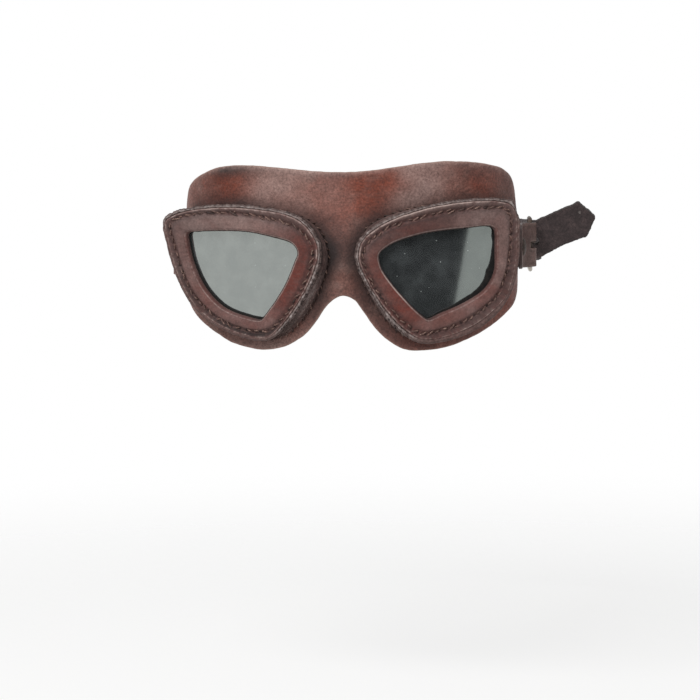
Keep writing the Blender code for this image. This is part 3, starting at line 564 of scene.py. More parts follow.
# %% [markdown]
# ## Curves
# Outlines are traced as a few corner points in the shares of a named width and height. A
# smooth curve is then drawn through them. A spline that slows down at close points was
# chosen, because it makes no loops where two points lie near each other.


# %% Curves
def unit(vectors):
    """Vectors at length one, row by row."""
    return vectors / np.linalg.norm(vectors, axis=-1, keepdims=True)


def spline(points, steps, closed):
    """A smooth curve through the points, with the same steps in every span."""
    points = np.asarray(points, float)
    if closed:
        around = np.vstack([points[-1:], points, points[:2]])
    else:
        around = np.vstack([2 * points[:1] - points[1:2], points, 2 * points[-1:] - points[-2:-1]])
    curve = []
    for a, b, c, d in zip(around, around[1:], around[2:], around[3:]):
        gaps = [math.sqrt(np.linalg.norm(q - p)) for p, q in ((a, b), (b, c), (c, d))]
        t1 = gaps[0]
        t2, t3 = t1 + gaps[1], t1 + gaps[1] + gaps[2]
        t = np.linspace(t1, t2, steps, endpoint=False)[:, None]
        ab = (a * (t1 - t) + b * t) / t1
        bc = (b * (t2 - t) + c * (t - t1)) / (t2 - t1)
        cd = (c * (t3 - t) + d * (t - t2)) / (t3 - t2)
        abc = (ab * (t2 - t) + bc * t) / t2
        bcd = (bc * (t3 - t) + cd * (t - t1)) / (t3 - t1)
        curve.append((abc * (t2 - t) + bcd * (t - t1)) / (t2 - t1))
    curve = np.vstack(curve)
    return curve if closed else np.vstack([curve, points[-1:]])


def arc(centre, radius, start, end, steps):
    """Points on an arc."""
    angles = np.linspace(start, end, steps)
    return np.array(centre) + radius * np.stack([np.cos(angles), np.sin(angles)], 1)


def resample(loop, spacing):
    """Even steps round a closed loop."""
    ring = np.vstack([loop, loop[:1]])
    along = np.concatenate([[0.0], np.cumsum(np.linalg.norm(np.diff(ring, axis=0), axis=1))])
    count = max(12, round(along[-1] / spacing))
    marks = np.linspace(0.0, along[-1], count, endpoint=False)
    return np.stack([np.interp(marks, along, ring[:, k]) for k in range(loop.shape[1])], 1)


def left_hand(loop):
    """The sideways direction at each point of a closed loop, to its left."""
    along = unit(np.roll(loop, -1, axis=0) - np.roll(loop, 1, axis=0))
    return np.stack([-along[:, 1], along[:, 0]], 1)


def soften(loop, passes):
    """The loop with its corners rounded, each point drawn towards its neighbours."""
    for _ in range(passes):
        loop = (np.roll(loop, 1, axis=0) + 2 * loop + np.roll(loop, -1, axis=0)) / 4
    return loop


ring = arc((0, 0), 10 * MM, 0, 2 * math.pi, 60)[:-1]
print("a 20 mm circle in steps of 1 mm has", len(resample(ring, MM)), "points")

# %% [markdown]
# ## Unevenness and marks
# Hand work is never even. Smooth noise from Blender's own library is the same on each
# run, so it moves edges and breaks up marks here. Soft spots paint wear, dirt and dye on
# the points of a mesh where the photo shows them, and painted light and shade as well.


# %% Unevenness and marks
def wobble(points, size, seed):
    """Smooth noise between -1 and 1 at each point, with features of about this size."""
    points = np.asarray(points) / size
    third = points[:, 2] if points.shape[1] == 3 else np.zeros(len(points))
    spots = np.column_stack([points[:, :2], third + seed])
    return np.array([noise.noise(Vector(spot)) for spot in spots])


def soft_spots(s, z, spots):
    """How strongly soft round spots cover each point."""
    total = np.zeros(len(s))
    for along, up, wide, high, strong in spots:
        away = ((s / MM - along) / wide) ** 2 + ((z / MM - up) / high) ** 2
        total = total + strong * np.exp(-away)
    return total


def fade(distance, width):
    """1 where the distance is 0, and less over about this width."""
    return np.exp(-np.abs(distance) / width)


print("a mark fades to", round(float(fade(1 * MM, 0.5 * MM)), 2), "at twice its width")

# %% [markdown]
# ## Pieces
# Each finer piece is a closed mesh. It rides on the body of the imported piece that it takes
# the place of, so it moves with the joints. Its marks are stored on its points.


# %% Pieces
def make_piece(name, points, faces, surface, body, stands_for=(), marks=None,
               sharp=50):
    """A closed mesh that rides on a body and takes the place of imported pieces."""
    mesh = bpy.data.meshes.new(name)
    mesh.from_pydata(np.asarray(points).tolist(), [], [tuple(map(int, f)) for f in faces])
    shape = bmesh.new()
    shape.from_mesh(mesh)
    bmesh.ops.recalc_face_normals(shape, faces=shape.faces)
    shape.to_mesh(mesh)
    shape.free()
    mesh.shade_smooth()
    mesh.set_sharp_from_angle(angle=math.radians(sharp))
    for key, values in (marks or {}).items():
        layer = mesh.attributes.new(key, "FLOAT", "POINT")
        layer.data.foreach_set("value", np.clip(values, 0.0, 1.0).astype(np.float32))
    mesh.materials.append(surface)
    made = bpy.data.objects.new(name, mesh)
    bpy.context.scene.collection.objects.link(made)
    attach(made, body)
    if stands_for:
        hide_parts(*stands_for)
    print(f"{name}: {len(mesh.vertices)} points, {len(mesh.polygons)} faces")
    return made


# %% [markdown]
# ## Bands
# Three kinds of mesh make all the leather and thread. The first is a *band*: closed rings
# of points, joined one to the next. It suits the plates, walls and gaskets, which run
# round a cup, and each ring can carry its own marks.

# %% Bands
# Dirt and painted shade, rubbed leather and painted highlights, the bare cut and redder
# dye, as the leather recipe reads them
MARKS = ("grime", "wear", "raw", "flush")


def band_faces(rings, count):
    """Squares between rings, joined round and from the last ring to the first."""
    ring, spot = np.meshgrid(np.arange(rings), np.arange(count), indexing="ij")
    after, beside = (ring + 1) % rings, (spot + 1) % count
    return np.stack([ring * count + spot, ring * count + beside,
                     after * count + beside, after * count + spot], -1).reshape(-1, 4)


class Band:
    """Rings round a cup with their marks, joined to one closed piece."""

    def __init__(self, count):
        self.count, self.rings, self.marks = count, [], {key: [] for key in MARKS}

    def row(self, ring, **marks):
        """Add a ring. A mark is one value or one for each point, and 0 if it isn't given."""
        self.rings.append(ring)
        for key in MARKS:
            self.marks[key].append(np.broadcast_to(marks.get(key, 0.0), self.count))

    def piece(self, name, surface, stands_for, slot):
        """Join the rings, the last one to the first."""
        marks = {key: np.concatenate(values) for key, values in self.marks.items()}
        return make_piece(name, np.vstack(self.rings), band_faces(len(self.rings), self.count),
                          surface, "mask", [stands_for], marks)


print("three rings of eight points make", len(band_faces(3, 8)), "faces")

# %% [markdown]
# ## Sheets
# The second kind is a *sheet*: a flat cut shape with rounded edges that is bent into place
# afterwards, which is how the mask, tabs and strap are really made. The edges are offset
# rings of points. The flat inside is filled with an even grid of triangles, because long
# thin triangles would crease when the sheet is bent.


# %% Sheets
def inside(points, loops):
    """Which points lie inside the outline and outside its holes."""
    odd = np.zeros(len(points), bool)
    for loop in loops:
        ahead = np.roll(loop, -1, axis=0)
        for a, b in zip(loop, ahead):
            spans = (a[1] > points[:, 1]) != (b[1] > points[:, 1])
            with np.errstate(divide="ignore", invalid="ignore"):
                cross = (b[0] - a[0]) * (points[:, 1] - a[1]) / (b[1] - a[1]) + a[0]
            odd ^= spans & (points[:, 0] < cross)
    return odd


def off_edges(points, loops):
    """Each point's distance to the nearest edge point."""
    edge = np.vstack(loops)
    best = np.full(len(points), np.inf)
    for part in np.array_split(edge, max(1, len(edge) // 200)):
        away = np.linalg.norm(points[:, None] - part[None], axis=2)
        best = np.minimum(best, away.min(axis=1))
    return best


def closed_loops(outline, holes, spacing):
    """The outline and its holes in even steps, each with the leather to its left."""
    loops = []
    for loop, turn in [(outline, 1)] + [(hole, -1) for hole in holes]:
        loop = resample(np.asarray(loop, float), spacing)
        ahead = np.roll(loop, -1, axis=0)
        area = (loop[:, 0] * ahead[:, 1] - loop[:, 1] * ahead[:, 0]).sum()
        loops.append(loop if area * turn > 0 else loop[::-1])
    return loops


def inner_grid(rim, ahead, cell):
    """A grid of points inside the rim, and the triangles between rim and grid."""
    low, high = rim[0].min(axis=0), rim[0].max(axis=0)
    # 0.866 is the height of an even triangle.
    xs, ys = np.arange(low[0], high[0], cell), np.arange(low[1], high[1], cell * 0.866)
    grid = np.array([(x + (j % 2) * cell / 2, y) for j, y in enumerate(ys) for x in xs])
    grid = grid[inside(grid, rim)]
    grid = grid[off_edges(grid, rim) > 0.6 * cell]
    flat = np.vstack(rim + [grid])
    edges = [(i, int(j)) for i, j in enumerate(ahead)]
    found = geometry.delaunay_2d_cdt([Vector(p) for p in flat], edges, [], 0, 1e-9)
    original = [ids[0] for ids in found[3]]
    triangles = np.array([[original[i] for i in face] for face in found[2]])
    return grid, triangles[inside(flat[triangles].mean(axis=1), rim)]


def sheet(outline, holes, thick, rounding, cell, spacing):
    """A flat sheet: its points (s, z, depth), its faces, how far each point is off an edge,
    and which points are on the cut."""
    loops = closed_loops(outline, holes, spacing)
    angles = np.radians([0, 22, 45, 68, 90])
    corner = [(rounding * (1 - math.sin(a)), rounding * (1 - math.cos(a))) for a in angles]
    profile = corner + [(d, thick - h) for d, h in corner[::-1]]
    rows, cut = [], []
    # The middle of the profile is the bare cut.
    for k, (inset, depth) in enumerate(profile):
        moved = np.vstack([loop + left_hand(soften(loop, 4)) * inset for loop in loops])
        rows.append(np.column_stack([moved, np.full(len(moved), depth)]))
        cut.append(np.full(len(moved), float(2 <= k <= len(profile) - 3)))
    count, total = len(rows[0]), len(rows) * len(rows[0])
    starts = np.cumsum([0] + [len(loop) for loop in loops])
    ahead = np.concatenate([np.roll(np.arange(a, b), -1) for a, b in zip(starts, starts[1:])])
    faces = []
    for low in range(0, total - count, count):
        high = low + count
        faces.extend((low + i, low + ahead[i], high + ahead[i], high + i) for i in range(count))
    rim = [loop + left_hand(soften(loop, 4)) * rounding for loop in loops]
    grid, triangles = inner_grid(rim, ahead, cell)
    # The front is joined to the first ring of points and the back to the last.
    behind = triangles + total - count
    faces.extend(np.where(triangles < count, triangles, behind).tolist())
    faces.extend(np.where(triangles < count, behind, behind + len(grid)).tolist())
    for depth in (0.0, thick):
        rows.append(np.column_stack([grid, np.full(len(grid), depth)]))
        cut.append(np.zeros(len(grid)))
    points = np.vstack(rows)
    return points, faces, off_edges(points[:, :2], loops), np.concatenate(cut)


square = np.array([(0, 0), (20, 0), (20, 20), (0, 20)]) * MM
print("a 20 mm square of 2 mm leather has", len(sheet(square, [], 2 * MM, 0.5 * MM, MM, MM)[0]),
      "points")

# %% [markdown]
# ## The mask
# The mask is one piece of 2.2 mm leather, cut by hand and bent: a gentle curve over the
# brow, a tight one at each temple, and a small bulge for the nose. It is built flat and
# bent afterwards, so the cut edge stays square to the surface. Slow waves of a few tenths
# of a millimetre keep it from looking like moulded plastic. Redder places, where more dye
# went in, are painted on as soft spots, and painted shade darkens the corner round each cup.

# %% The mask's bent surface
SIDES = {"left": 1, "right": -1}
GAP = 0.3 * MM
MASK_THICK = 2.2 * MM
BROW_RADIUS, BROW_ANGLE = 107.2 * MM, math.radians(32)
TEMPLE_RADIUS = 40.2 * MM
NOSE_LIFT, NOSE_SPREAD = 3.5 * MM, 9 * MM
NOSE_LIFT_TOP, NOSE_LIFT_FULL = 25 * MM, -12 * MM
PIVOT_Y = 57 * MM
BROW_LENGTH = BROW_RADIUS * BROW_ANGLE
TEMPLE_LENGTH = TEMPLE_RADIUS * (math.pi / 2 - BROW_ANGLE)
SIDE_START = BROW_LENGTH + TEMPLE_LENGTH
TEMPLE_X = (BROW_RADIUS - TEMPLE_RADIUS) * math.sin(BROW_ANGLE)
TEMPLE_Y = BROW_RADIUS - MASK_THICK - (BROW_RADIUS - TEMPLE_RADIUS) * math.cos(BROW_ANGLE)
SIDE_X = TEMPLE_X + TEMPLE_RADIUS
PIVOT_S = SIDE_START + PIVOT_Y - TEMPLE_Y


def waves(s, z):
    """Slow waves in the leather, which die out towards the wings."""
    swell = (np.sin(2 * math.pi * (s / 43 + z / 71) / MM + 0.8)
             + np.sin(2 * math.pi * (s / 27 - z / 38) / MM + 2.1)
             + np.sin(2 * math.pi * (s / 95 + z / 24) / MM))
    calm = np.clip((88 * MM - np.abs(s)) / (14 * MM), 0.0, 1.0)
    return 0.11 * MM * swell * calm


def on_mask(s, z, out):
    """Points beside the mask: s along it, z up, out from its front face."""
    s, z, out = np.broadcast_arrays(np.asarray(s, float), z, out)
    side, along = np.where(s < 0, -1.0, 1.0), np.abs(s)
    brow, temple = along <= BROW_LENGTH, along <= SIDE_START
    angle = np.where(brow, along / BROW_RADIUS, BROW_ANGLE + (along - BROW_LENGTH) / TEMPLE_RADIUS)
    angle = np.where(temple, angle, math.pi / 2)
    radius = np.where(brow, BROW_RADIUS, TEMPLE_RADIUS)
    x = np.where(brow, 0.0, TEMPLE_X) + radius * np.sin(angle)
    y = np.where(brow, BROW_RADIUS - MASK_THICK, TEMPLE_Y) - radius * np.cos(angle)
    y = y + np.where(temple, 0.0, along - SIDE_START)
    rise = np.clip((NOSE_LIFT_TOP - z) / (NOSE_LIFT_TOP - NOSE_LIFT_FULL), 0.0, 1.0)
    bump = NOSE_LIFT * rise * rise * (3 - 2 * rise) * np.exp(-(s / NOSE_SPREAD) ** 2)
    lift = out + bump + waves(s, z)
    return np.stack([side * (x + lift * np.sin(angle)), y - lift * np.cos(angle), z], -1)


print("flat mask:", round(2 * PIVOT_S / MM), "mm between its rivets")

# %% [markdown]
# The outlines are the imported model's own, in shares of a named reach and rise, so that
# the finer mask lies exactly where its solid is. The goggles were cut by hand, so the two
# halves differ.

# %% The mask's outlines
MASK_REACH, MASK_RISE = 100 * MM, 41 * MM
TAB_WIDTH, STRAP_HEIGHT = 20.6 * MM, 1.2 * MM
RIVET_POST = 1.5 * MM
FOOT_SHARES = [
    (0.063, 0.050), (0.075, -0.170), (0.130, -0.475), (0.200, -0.720),
    (0.265, -0.850), (0.330, -0.893), (0.440, -0.855), (0.580, -0.745),
    (0.720, -0.550), (0.800, -0.270), (0.830, 0.090), (0.810, 0.380),
    (0.750, 0.500), (0.550, 0.540), (0.310, 0.510), (0.115, 0.330)]
BROW_SHARES = {
    "left": [
        (0.12, 0.920), (0.24, 0.955), (0.40, 1.000), (0.54, 1.005), (0.68, 0.970),
        (0.79, 0.910), (0.87, 0.815), (0.915, 0.680), (0.95, 0.490), (1.01, 0.340)],
    "right": [
        (0.12, 0.915), (0.22, 0.940), (0.33, 0.965), (0.47, 0.985), (0.59, 0.965),
        (0.69, 0.905), (0.78, 0.830), (0.845, 0.745), (0.895, 0.620), (0.94, 0.480),
        (1.00, 0.350)],
}
CHEEK_SHARES = {
    "left": [
        (1.02, -0.290), (0.98, -0.430), (0.91, -0.555), (0.80, -0.675), (0.67, -0.815),
        (0.54, -0.940), (0.435, -1.005), (0.35, -1.020), (0.265, -1.000), (0.205, -0.920),
        (0.14, -0.775), (0.08, -0.565), (0.05, -0.465)],
    "right": [
        (1.03, -0.270), (0.98, -0.370), (0.90, -0.510), (0.80, -0.640), (0.70, -0.760),
        (0.61, -0.860), (0.53, -0.945), (0.42, -1.000), (0.335, -1.000), (0.255, -0.950),
        (0.175, -0.830), (0.12, -0.680), (0.075, -0.525), (0.04, -0.450)],
}
BROW_MIDDLE_SHARE, NOSE_MIDDLE_SHARE = 0.905, -0.410


def foot_line(side, steps):
    """The line on the mask where an eyecup stands, laid flat."""
    curve = spline([(u * MASK_REACH, v * MASK_RISE) for u, v in FOOT_SHARES], steps, True)
    return curve * (side, 1)


def round_hole(s, radius=RIVET_POST + GAP, steps=24):
    """A punched hole at the height of the strap, on a flat sheet."""
    return arc((s, STRAP_HEIGHT), radius, 0, 2 * math.pi, steps + 1)[:-1]


def half_edge(name):
    """Half of the mask's edge laid flat: brow, wing with its round end, cheek."""
    half = TAB_WIDTH / 2
    brow = [(u * MASK_REACH, v * MASK_RISE) for u, v in BROW_SHARES[name]]
    cheek = [(u * MASK_REACH, v * MASK_RISE) for u, v in CHEEK_SHARES[name]]
    top = [(-brow[0][0], brow[0][1]), (0.0, BROW_MIDDLE_SHARE * MASK_RISE), *brow,
           (PIVOT_S, STRAP_HEIGHT + half)]
    low = [(PIVOT_S, STRAP_HEIGHT - half), *cheek, (0.0, NOSE_MIDDLE_SHARE * MASK_RISE),
           (-cheek[-1][0], cheek[-1][1])]
    steps = 10
    wing = arc((PIVOT_S, STRAP_HEIGHT), half, math.pi / 2, -math.pi / 2, 25)[1:-1]
    edge = np.vstack([spline(top, steps, False)[steps:], wing, spline(low, steps, False)[:-steps]])
    return edge * (SIDES[name], 1)


def hand_cut(loop, amount, seed):
    """A cut edge that wavers a little, as a knife does."""
    loop = resample(loop, 0.7 * MM)
    drift = 0.7 * wobble(loop, 7 * MM, seed) + 0.5 * wobble(loop, 2.2 * MM, seed + 7)
    return loop + left_hand(loop) * (drift * amount)[:, None]


print("half a mask edge:", len(half_edge("left")), "points")

# %% [markdown]
# The marks follow the photo: two redder places on the brow and one below the left cup,
# pale rubbed leather between them, and a darker top edge on the right, which is painted
# shade. Spots of painted shade and of painted light sit round the cups and at the ends.

# %% Marks of the mask
# Spots in millimetres along and up the mask: (s, z, how wide, how high, how strong)
RED_SPOTS = [
    (-53, 31, 11, 8, 0.75), (-50, 22, 10, 6, 0.6), (-78, 28, 11, 16, 0.45), (15, 33, 11, 9, 1.8),
    (-6, 27, 12, 8, 0.25), (8, 19, 10, 7, 0.50), (-22, 26, 10, 8, 0.15), (56, 30, 12, 8, 0.5),
    (66, 25, 12, 9, 0.45), (77, -22, 15, 12, 0.95), (38, -39, 18, 6, 0.3),
    (-30, -40, 14, 6, 0.15), (-7, -20, 8, 8, 0.15), (-53, 38, 14, 6, 0.85),
    (-61, 28, 7, 9, 0.30), (-14, 24, 8, 6, 0.25), (-8, 2, 4, 8, 0.35), (12, 25, 7, 6, 0.25),
    (0, -8, 10, 3, 0.35)]
PALE_AND_LIT_SPOTS = [
    (-32, 32, 12, 8, 0.42), (-32, 27, 10, 4, 0.30), (-6, 27, 9, 7, 0.20), (38, 36, 10, 8, 0.55),
    (28, 25, 8, 5, 0.42), (-34, -40, 18, 5, 0.36), (72, 14, 8, 5, 0.42), (38, 28, 8, 4, 0.25),
    (29, 35, 5, 4, 0.25), (-18, 24, 6, 5, 0.25)]
# These spots paint shade and dirt. The last spot is below 0, so it paints light into shade there.
SHADE_AND_DIRT_SPOTS = [
    (82, 29, 10, 14, 0.38), (88, -18, 10, 14, 0.25), (0, 9, 10, 9, 0.20), (3, -3, 7, 9, 0.12),
    (-8, -20, 7, 9, 0.20), (8, -18, 7, 9, 0.15), (-48, 23, 12, 4, 0.30), (15, 31, 10, 7, 0.24),
    (-75, 28, 9, 12, 0.12), (-34, -40, 16, 5, 0.12), (-48, 40, 18, 5, 0.70),
    (-60, 33, 8, 8, 0.30), (-14, 35, 8, 5, 0.16), (12, 18, 9, 6, 0.06), (58, 25, 6, 3, 0.25),
    (57, 37, 8, 4, 0.28), (-55, 37, 12, 4, 0.20), (0, 4, 5, 8, 0.14), (-4, -7, 5, 3, 0.10),
    (60, 37, 12, 4, 0.12), (-77, 15, 5, 6, 0.45), (-3, 1, 5, 7, 0.24), (13, 36, 9, 4, 0.12),
    (56, -22, 7, 5, 0.16), (-34, -30, 7, 6, 0.14), (-18, -24, 4, 6, 0.12),
    (22, -30, 9, 7, 0.22), (-32, 27.5, 10, 4, -0.28)]


def mask_marks(flat, edge_off, cut):
    """Where the mask is redder, rubbed, dirty and cut, and where light and shade are painted on
    it.
    """
    s, z, depth = flat.T
    front, edge = depth < 1.0 * MM, fade(edge_off, 1.3 * MM)
    nose_side = np.exp(-(s / (16 * MM)) ** 4)
    low_side = np.clip(-z / (30 * MM), 0.0, 1.0) * (1 - nose_side)
    # Painted shade round each cup, strongest beside the nose and weakest below.
    away = off_edges(flat[:, :2], [foot_line(side, 32) for side in SIDES.values()])
    corner = np.exp(-(away / ((6.0 - 0.5 * nose_side) * MM)) ** 1.6)
    corner = corner * (0.66 + 0.14 * nose_side - 0.36 * low_side)
    streak = 0.5 + 0.5 * wobble(flat[:, :2] * (1.0, 1.6), 9 * MM, 5.0)
    # The top edge of the brow gets a painted highlight.
    return {
        "flush": soft_spots(s, z, RED_SPOTS) * (0.7 + 0.4 * streak),
        "wear": soft_spots(s, z, PALE_AND_LIT_SPOTS) * (0.5 + 0.6 * streak)
                + front * (0.25 * fade(edge_off, 0.5 * MM) + 0.45 * edge * (z > 25 * MM)),
        "grime": corner + soft_spots(s, z, SHADE_AND_DIRT_SPOTS)
                 + 0.28 * fade(edge_off - 1.6 * MM, 0.5 * MM),
        "raw": 0.8 * cut}


print("spots on the mask:", len(RED_SPOTS) + len(PALE_AND_LIT_SPOTS) + len(SHADE_AND_DIRT_SPOTS))

# %% Build the mask
FOOT_WIDTH = 3.5 * MM
KNIFE_WAVER = 0.22 * MM


def build_mask():
    """The bent mask, with its eye holes and rivet holes."""
    edge = hand_cut(np.vstack([half_edge("left"), half_edge("right")[-2:0:-1]]), KNIFE_WAVER, 3.0)
    holes = []
    for side in SIDES.values():
        foot = foot_line(side, 32)
        holes.append(foot + unit(foot.mean(axis=0) - foot) * (FOOT_WIDTH + GAP))
        holes.append(round_hole(side * PIVOT_S))
    flat, faces, edge_off, cut = sheet(edge, holes, MASK_THICK, 0.7 * MM, 1.5 * MM, 0.8 * MM)
    s, z, depth = flat.T
    make_piece("leather_mask", on_mask(s, z, -depth), faces, MASK_LEATHER, "mask",
               ["mask_body"], mask_marks(flat, edge_off, cut))


build_mask()

# %% [markdown]
# ## The eyecups
# Each front plate lies in its own tilted plane. Its outline and opening are traced from
# the photo in shares of the plate's width and height, and each side is cut by hand, so
# each has its own. Every stitch pulls the leather down at its two holes, so the groove
# puckers at the same spacing as the stitches: 3.4 mm, about 7 to the inch.

# %% Outlines of the cups
CUP_WIDTH, CUP_HEIGHT = 72 * MM, 60 * MM
PLATE_SHARES = {
    "left": [
        (-0.010, 0.035), (0.015, -0.115), (0.110, -0.355), (0.235, -0.535),
        (0.340, -0.620), (0.430, -0.635), (0.600, -0.595), (0.765, -0.505),
        (0.900, -0.345), (0.965, -0.140), (0.985, 0.135), (0.975, 0.315),
        (0.920, 0.380), (0.695, 0.397), (0.375, 0.340), (0.097, 0.230)],
    "right": [
        (0.010, 0.015), (0.038, -0.115), (0.135, -0.320), (0.247, -0.492),
        (0.340, -0.587), (0.430, -0.608), (0.583, -0.565), (0.750, -0.463),
        (0.885, -0.305), (0.960, -0.133), (1.020, 0.133), (1.037, 0.262),
        (0.993, 0.317), (0.773, 0.372), (0.417, 0.367), (0.132, 0.253)],
}
OPENING_SHARES = {
    "left": [
        (0.113, 0.033), (0.138, -0.053), (0.225, -0.200), (0.317, -0.353),
        (0.380, -0.434), (0.411, -0.457), (0.507, -0.407), (0.632, -0.337),
        (0.753, -0.243), (0.812, -0.125), (0.821, 0.017), (0.819, 0.175),
        (0.797, 0.205), (0.640, 0.202), (0.360, 0.168), (0.167, 0.097)],
    "right": [
        (0.136, 0.035), (0.168, -0.040), (0.245, -0.207), (0.323, -0.347),
        (0.375, -0.428), (0.407, -0.448), (0.514, -0.414), (0.639, -0.343),
        (0.743, -0.215), (0.808, -0.063), (0.839, 0.080), (0.844, 0.163),
        (0.808, 0.185), (0.639, 0.200), (0.389, 0.175), (0.183, 0.113)],
}
# Where the plate's own edge and its seam run, in millimetres inside the cup's outline:
# (span of the outline, edge, seam). The wall's roll fills the space outside the edge.
SEAM_LINES = {
    "left": [
        (0, -0.6, 1.3), (0.5, -0.6, 1.4), (1, -0.4, 1.6), (1.25, 0.1, 1.7), (1.5, 0.5, 2.1),
        (1.75, 1.0, 2.8), (2, 1.2, 3.1), (2.5, 1.4, 3.4), (3, 1.6, 3.6), (3.5, 1.7, 3.8),
        (4, 1.6, 4.0), (4.5, 1.5, 4.0), (5, 1.6, 4.5), (5.5, 1.6, 4.9), (6, 1.8, 5.1),
        (6.5, 2.0, 5.7), (7, 2.2, 6.0), (7.5, 2.0, 5.8), (8, 1.3, 5.0), (8.5, 1.0, 4.8),
        (9, 1.0, 4.6), (9.5, 0.9, 4.5), (10, 1.2, 4.7), (10.5, 1.4, 4.8), (11, 1.4, 4.2),
        (11.5, 0.9, 3.5), (12, 0.5, 3.3), (12.5, 0.2, 3.5), (13, 0.0, 3.5), (13.5, -0.1, 3.3),
        (14, -0.3, 3.2), (14.5, 0.4, 3.1), (14.75, 0.9, 3.2), (15, 0.8, 3.2),
        (15.25, 0.1, 2.6), (15.5, -0.9, 1.8), (15.75, -1.1, 1.3)],
    "right": [
        (0, 1.0, 3.3), (0.5, 1.4, 3.4), (1, 1.2, 3.0), (1.5, 1.0, 2.7), (2, 1.0, 2.6),
        (2.5, 1.0, 2.6), (3, 0.9, 2.7), (3.5, 0.8, 2.9), (4, 0.6, 3.3), (4.5, 0.7, 3.6),
        (5, 0.9, 3.7), (5.5, 1.0, 3.5), (6, 0.7, 3.2), (6.5, 0.6, 3.1), (7, 0.4, 3.1),
        (7.5, 0.2, 3.2), (8, 0.4, 3.2), (8.5, 0.7, 3.3), (9, 0.6, 3.4), (9.5, 0.5, 3.5),
        (10, 0.4, 3.4), (10.5, 0.8, 3.4), (11, 1.0, 3.7), (11.5, 1.3, 3.8), (12, 1.6, 3.8),
        (12.5, 1.4, 3.8), (13, 1.1, 3.8), (13.5, 1.1, 3.8), (14, 1.0, 3.8), (14.5, 0.0, 3.5),
        (15, -0.8, 2.7), (15.25, -1.0, 2.1), (15.5, -1.0, 1.6), (15.75, -0.3, 2.0)],
}
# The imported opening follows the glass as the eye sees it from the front. The leather's own
# edge runs in front of it, so it is seen elsewhere: (span of the outline, millimetres inside).
LIP_LINES = {
    "left": [
        (0, 0.1), (0.5, -0.8), (1, -1.6), (1.5, -1.9), (2, -1.9), (2.5, -1.2), (3, -0.6),
        (3.5, -0.3), (4, 0.0), (5, 0.0), (5.7, -0.2), (6.3, -0.7), (7, -1.0), (8, -1.2),
        (9, -1.3), (10, -1.2), (11, -0.9), (12, -0.2), (12.5, 0.0), (13, 0.2), (14, 0.5),
        (15, 0.8), (15.5, 0.8), (16, 0.1)],
    "right": [
        (0, 1.5), (1, 0.8), (1.5, 0.3), (2, 0.1), (3, 0.2), (3.5, 0.6), (4, 0.5), (4.5, -0.1),
        (5, -0.5), (5.5, -0.8), (6, -1.4), (6.5, -1.9), (7, -2.3), (8, -2.6), (9, -2.6),
        (10, -2.8), (10.7, -2.8), (11, -2.4), (11.5, -1.2), (12, -0.2), (12.5, 0.5),
        (13, 0.6), (13.6, 0.1), (14, 0.4), (14.5, 0.9), (15, 0.7), (15.5, 1.0), (16, 1.5)],
}
print("corner points of each cup:", len(PLATE_SHARES["left"]))

# %% The cups' planes and seams
CUP_TURN, CUP_PITCH = math.radians(16), math.radians(2)
CUP_NOSE = (9 * MM, -12 * MM)
STITCH_PITCH = 3.4 * MM
# Steps between two corner points of an outline
CUP_STEPS = 36


def along_cup(spans, table, passes):
    """A table of millimetres along the outline, as a smooth value at each point."""
    return soften(np.interp(spans, *table), passes) * MM


class Cup:
    """The plane of one front plate, with its outline, opening, foot and stitch spacing."""

    def __init__(self, name):
        self.name, self.side = name, SIDES[name]
        turn, pitch = CUP_TURN, CUP_PITCH
        self.origin = np.array([self.side * CUP_NOSE[0], CUP_NOSE[1], 0.0])
        self.across = np.array([self.side * math.cos(turn), math.sin(turn), 0.0])
        self.front = np.array([self.side * math.sin(turn) * math.cos(pitch),
                               -math.cos(turn) * math.cos(pitch), -math.sin(pitch)])
        self.up = self.side * np.cross(self.front, self.across)
        self.edge, self.opening = (
            spline(np.array(shares[name]) * (CUP_WIDTH, CUP_HEIGHT), CUP_STEPS, True)
            for shares in (PLATE_SHARES, OPENING_SHARES))
        self.inward = unit(self.opening - self.edge)
        self.spans = np.arange(len(self.edge)) / CUP_STEPS
        # The table's first row comes again at its end, to close the loop.
        seam = SEAM_LINES[name]
        at, trim, seam = np.array(seam + [(len(PLATE_SHARES[name]), *seam[0][1:])]).T
        shift = along_cup(self.spans, np.array(LIP_LINES[name]).T, 60)
        self.lip = self.opening + self.inward * shift[:, None]
        self.width = np.linalg.norm(self.lip - self.edge, axis=1)
        self.trim = along_cup(self.spans, (at, trim), 60)
        self.seam = along_cup(self.spans, (at, seam), 60)
        line = self.edge + self.inward * self.seam[:, None]
        steps = np.linalg.norm(np.roll(line, -1, axis=0) - line, axis=1)
        # The phase counts stitches along the seam.
        self.stitches = round(steps.sum() / STITCH_PITCH)
        self.phase = (np.cumsum(steps) - steps) / steps.sum() * self.stitches
        self.foot = foot_line(self.side, CUP_STEPS)
        self.foot_inward = unit(self.foot.mean(axis=0) - self.foot)

    def spot(self, flat, depth):
        """Points of the plate's plane, set behind its front face."""
        return (self.origin + flat[:, :1] * self.across + flat[:, 1:] * self.up
                - np.reshape(depth, (-1, 1)) * self.front)

    def ring(self, inset, depth):
        """The outer edge moved in and set back."""
        return self.spot(self.edge + self.inward * np.reshape(inset, (-1, 1)),
                         np.broadcast_to(depth, len(self.edge)))

    def foot_ring(self, inset, out):
        """The foot line moved in along the mask and set in front of it."""
        flat = self.foot + self.foot_inward * np.reshape(inset, (-1, 1))
        return on_mask(flat[:, 0], flat[:, 1], out)


cups = [Cup(name) for name in SIDES]
print("stitches round each plate:", [cup.stitches for cup in cups])

# %% [markdown]
# ## Front plates
# A front plate is a ring of leather over a thin pad. It is drawn as rings that follow both
# the outer edge and the opening. From the outside in, the leather rolls over its edge,
# dips into the stitched groove, swells like a thin pad, and rolls over again at the
# opening. Sculpting could do this too, but rings keep the groove exactly under the seam.

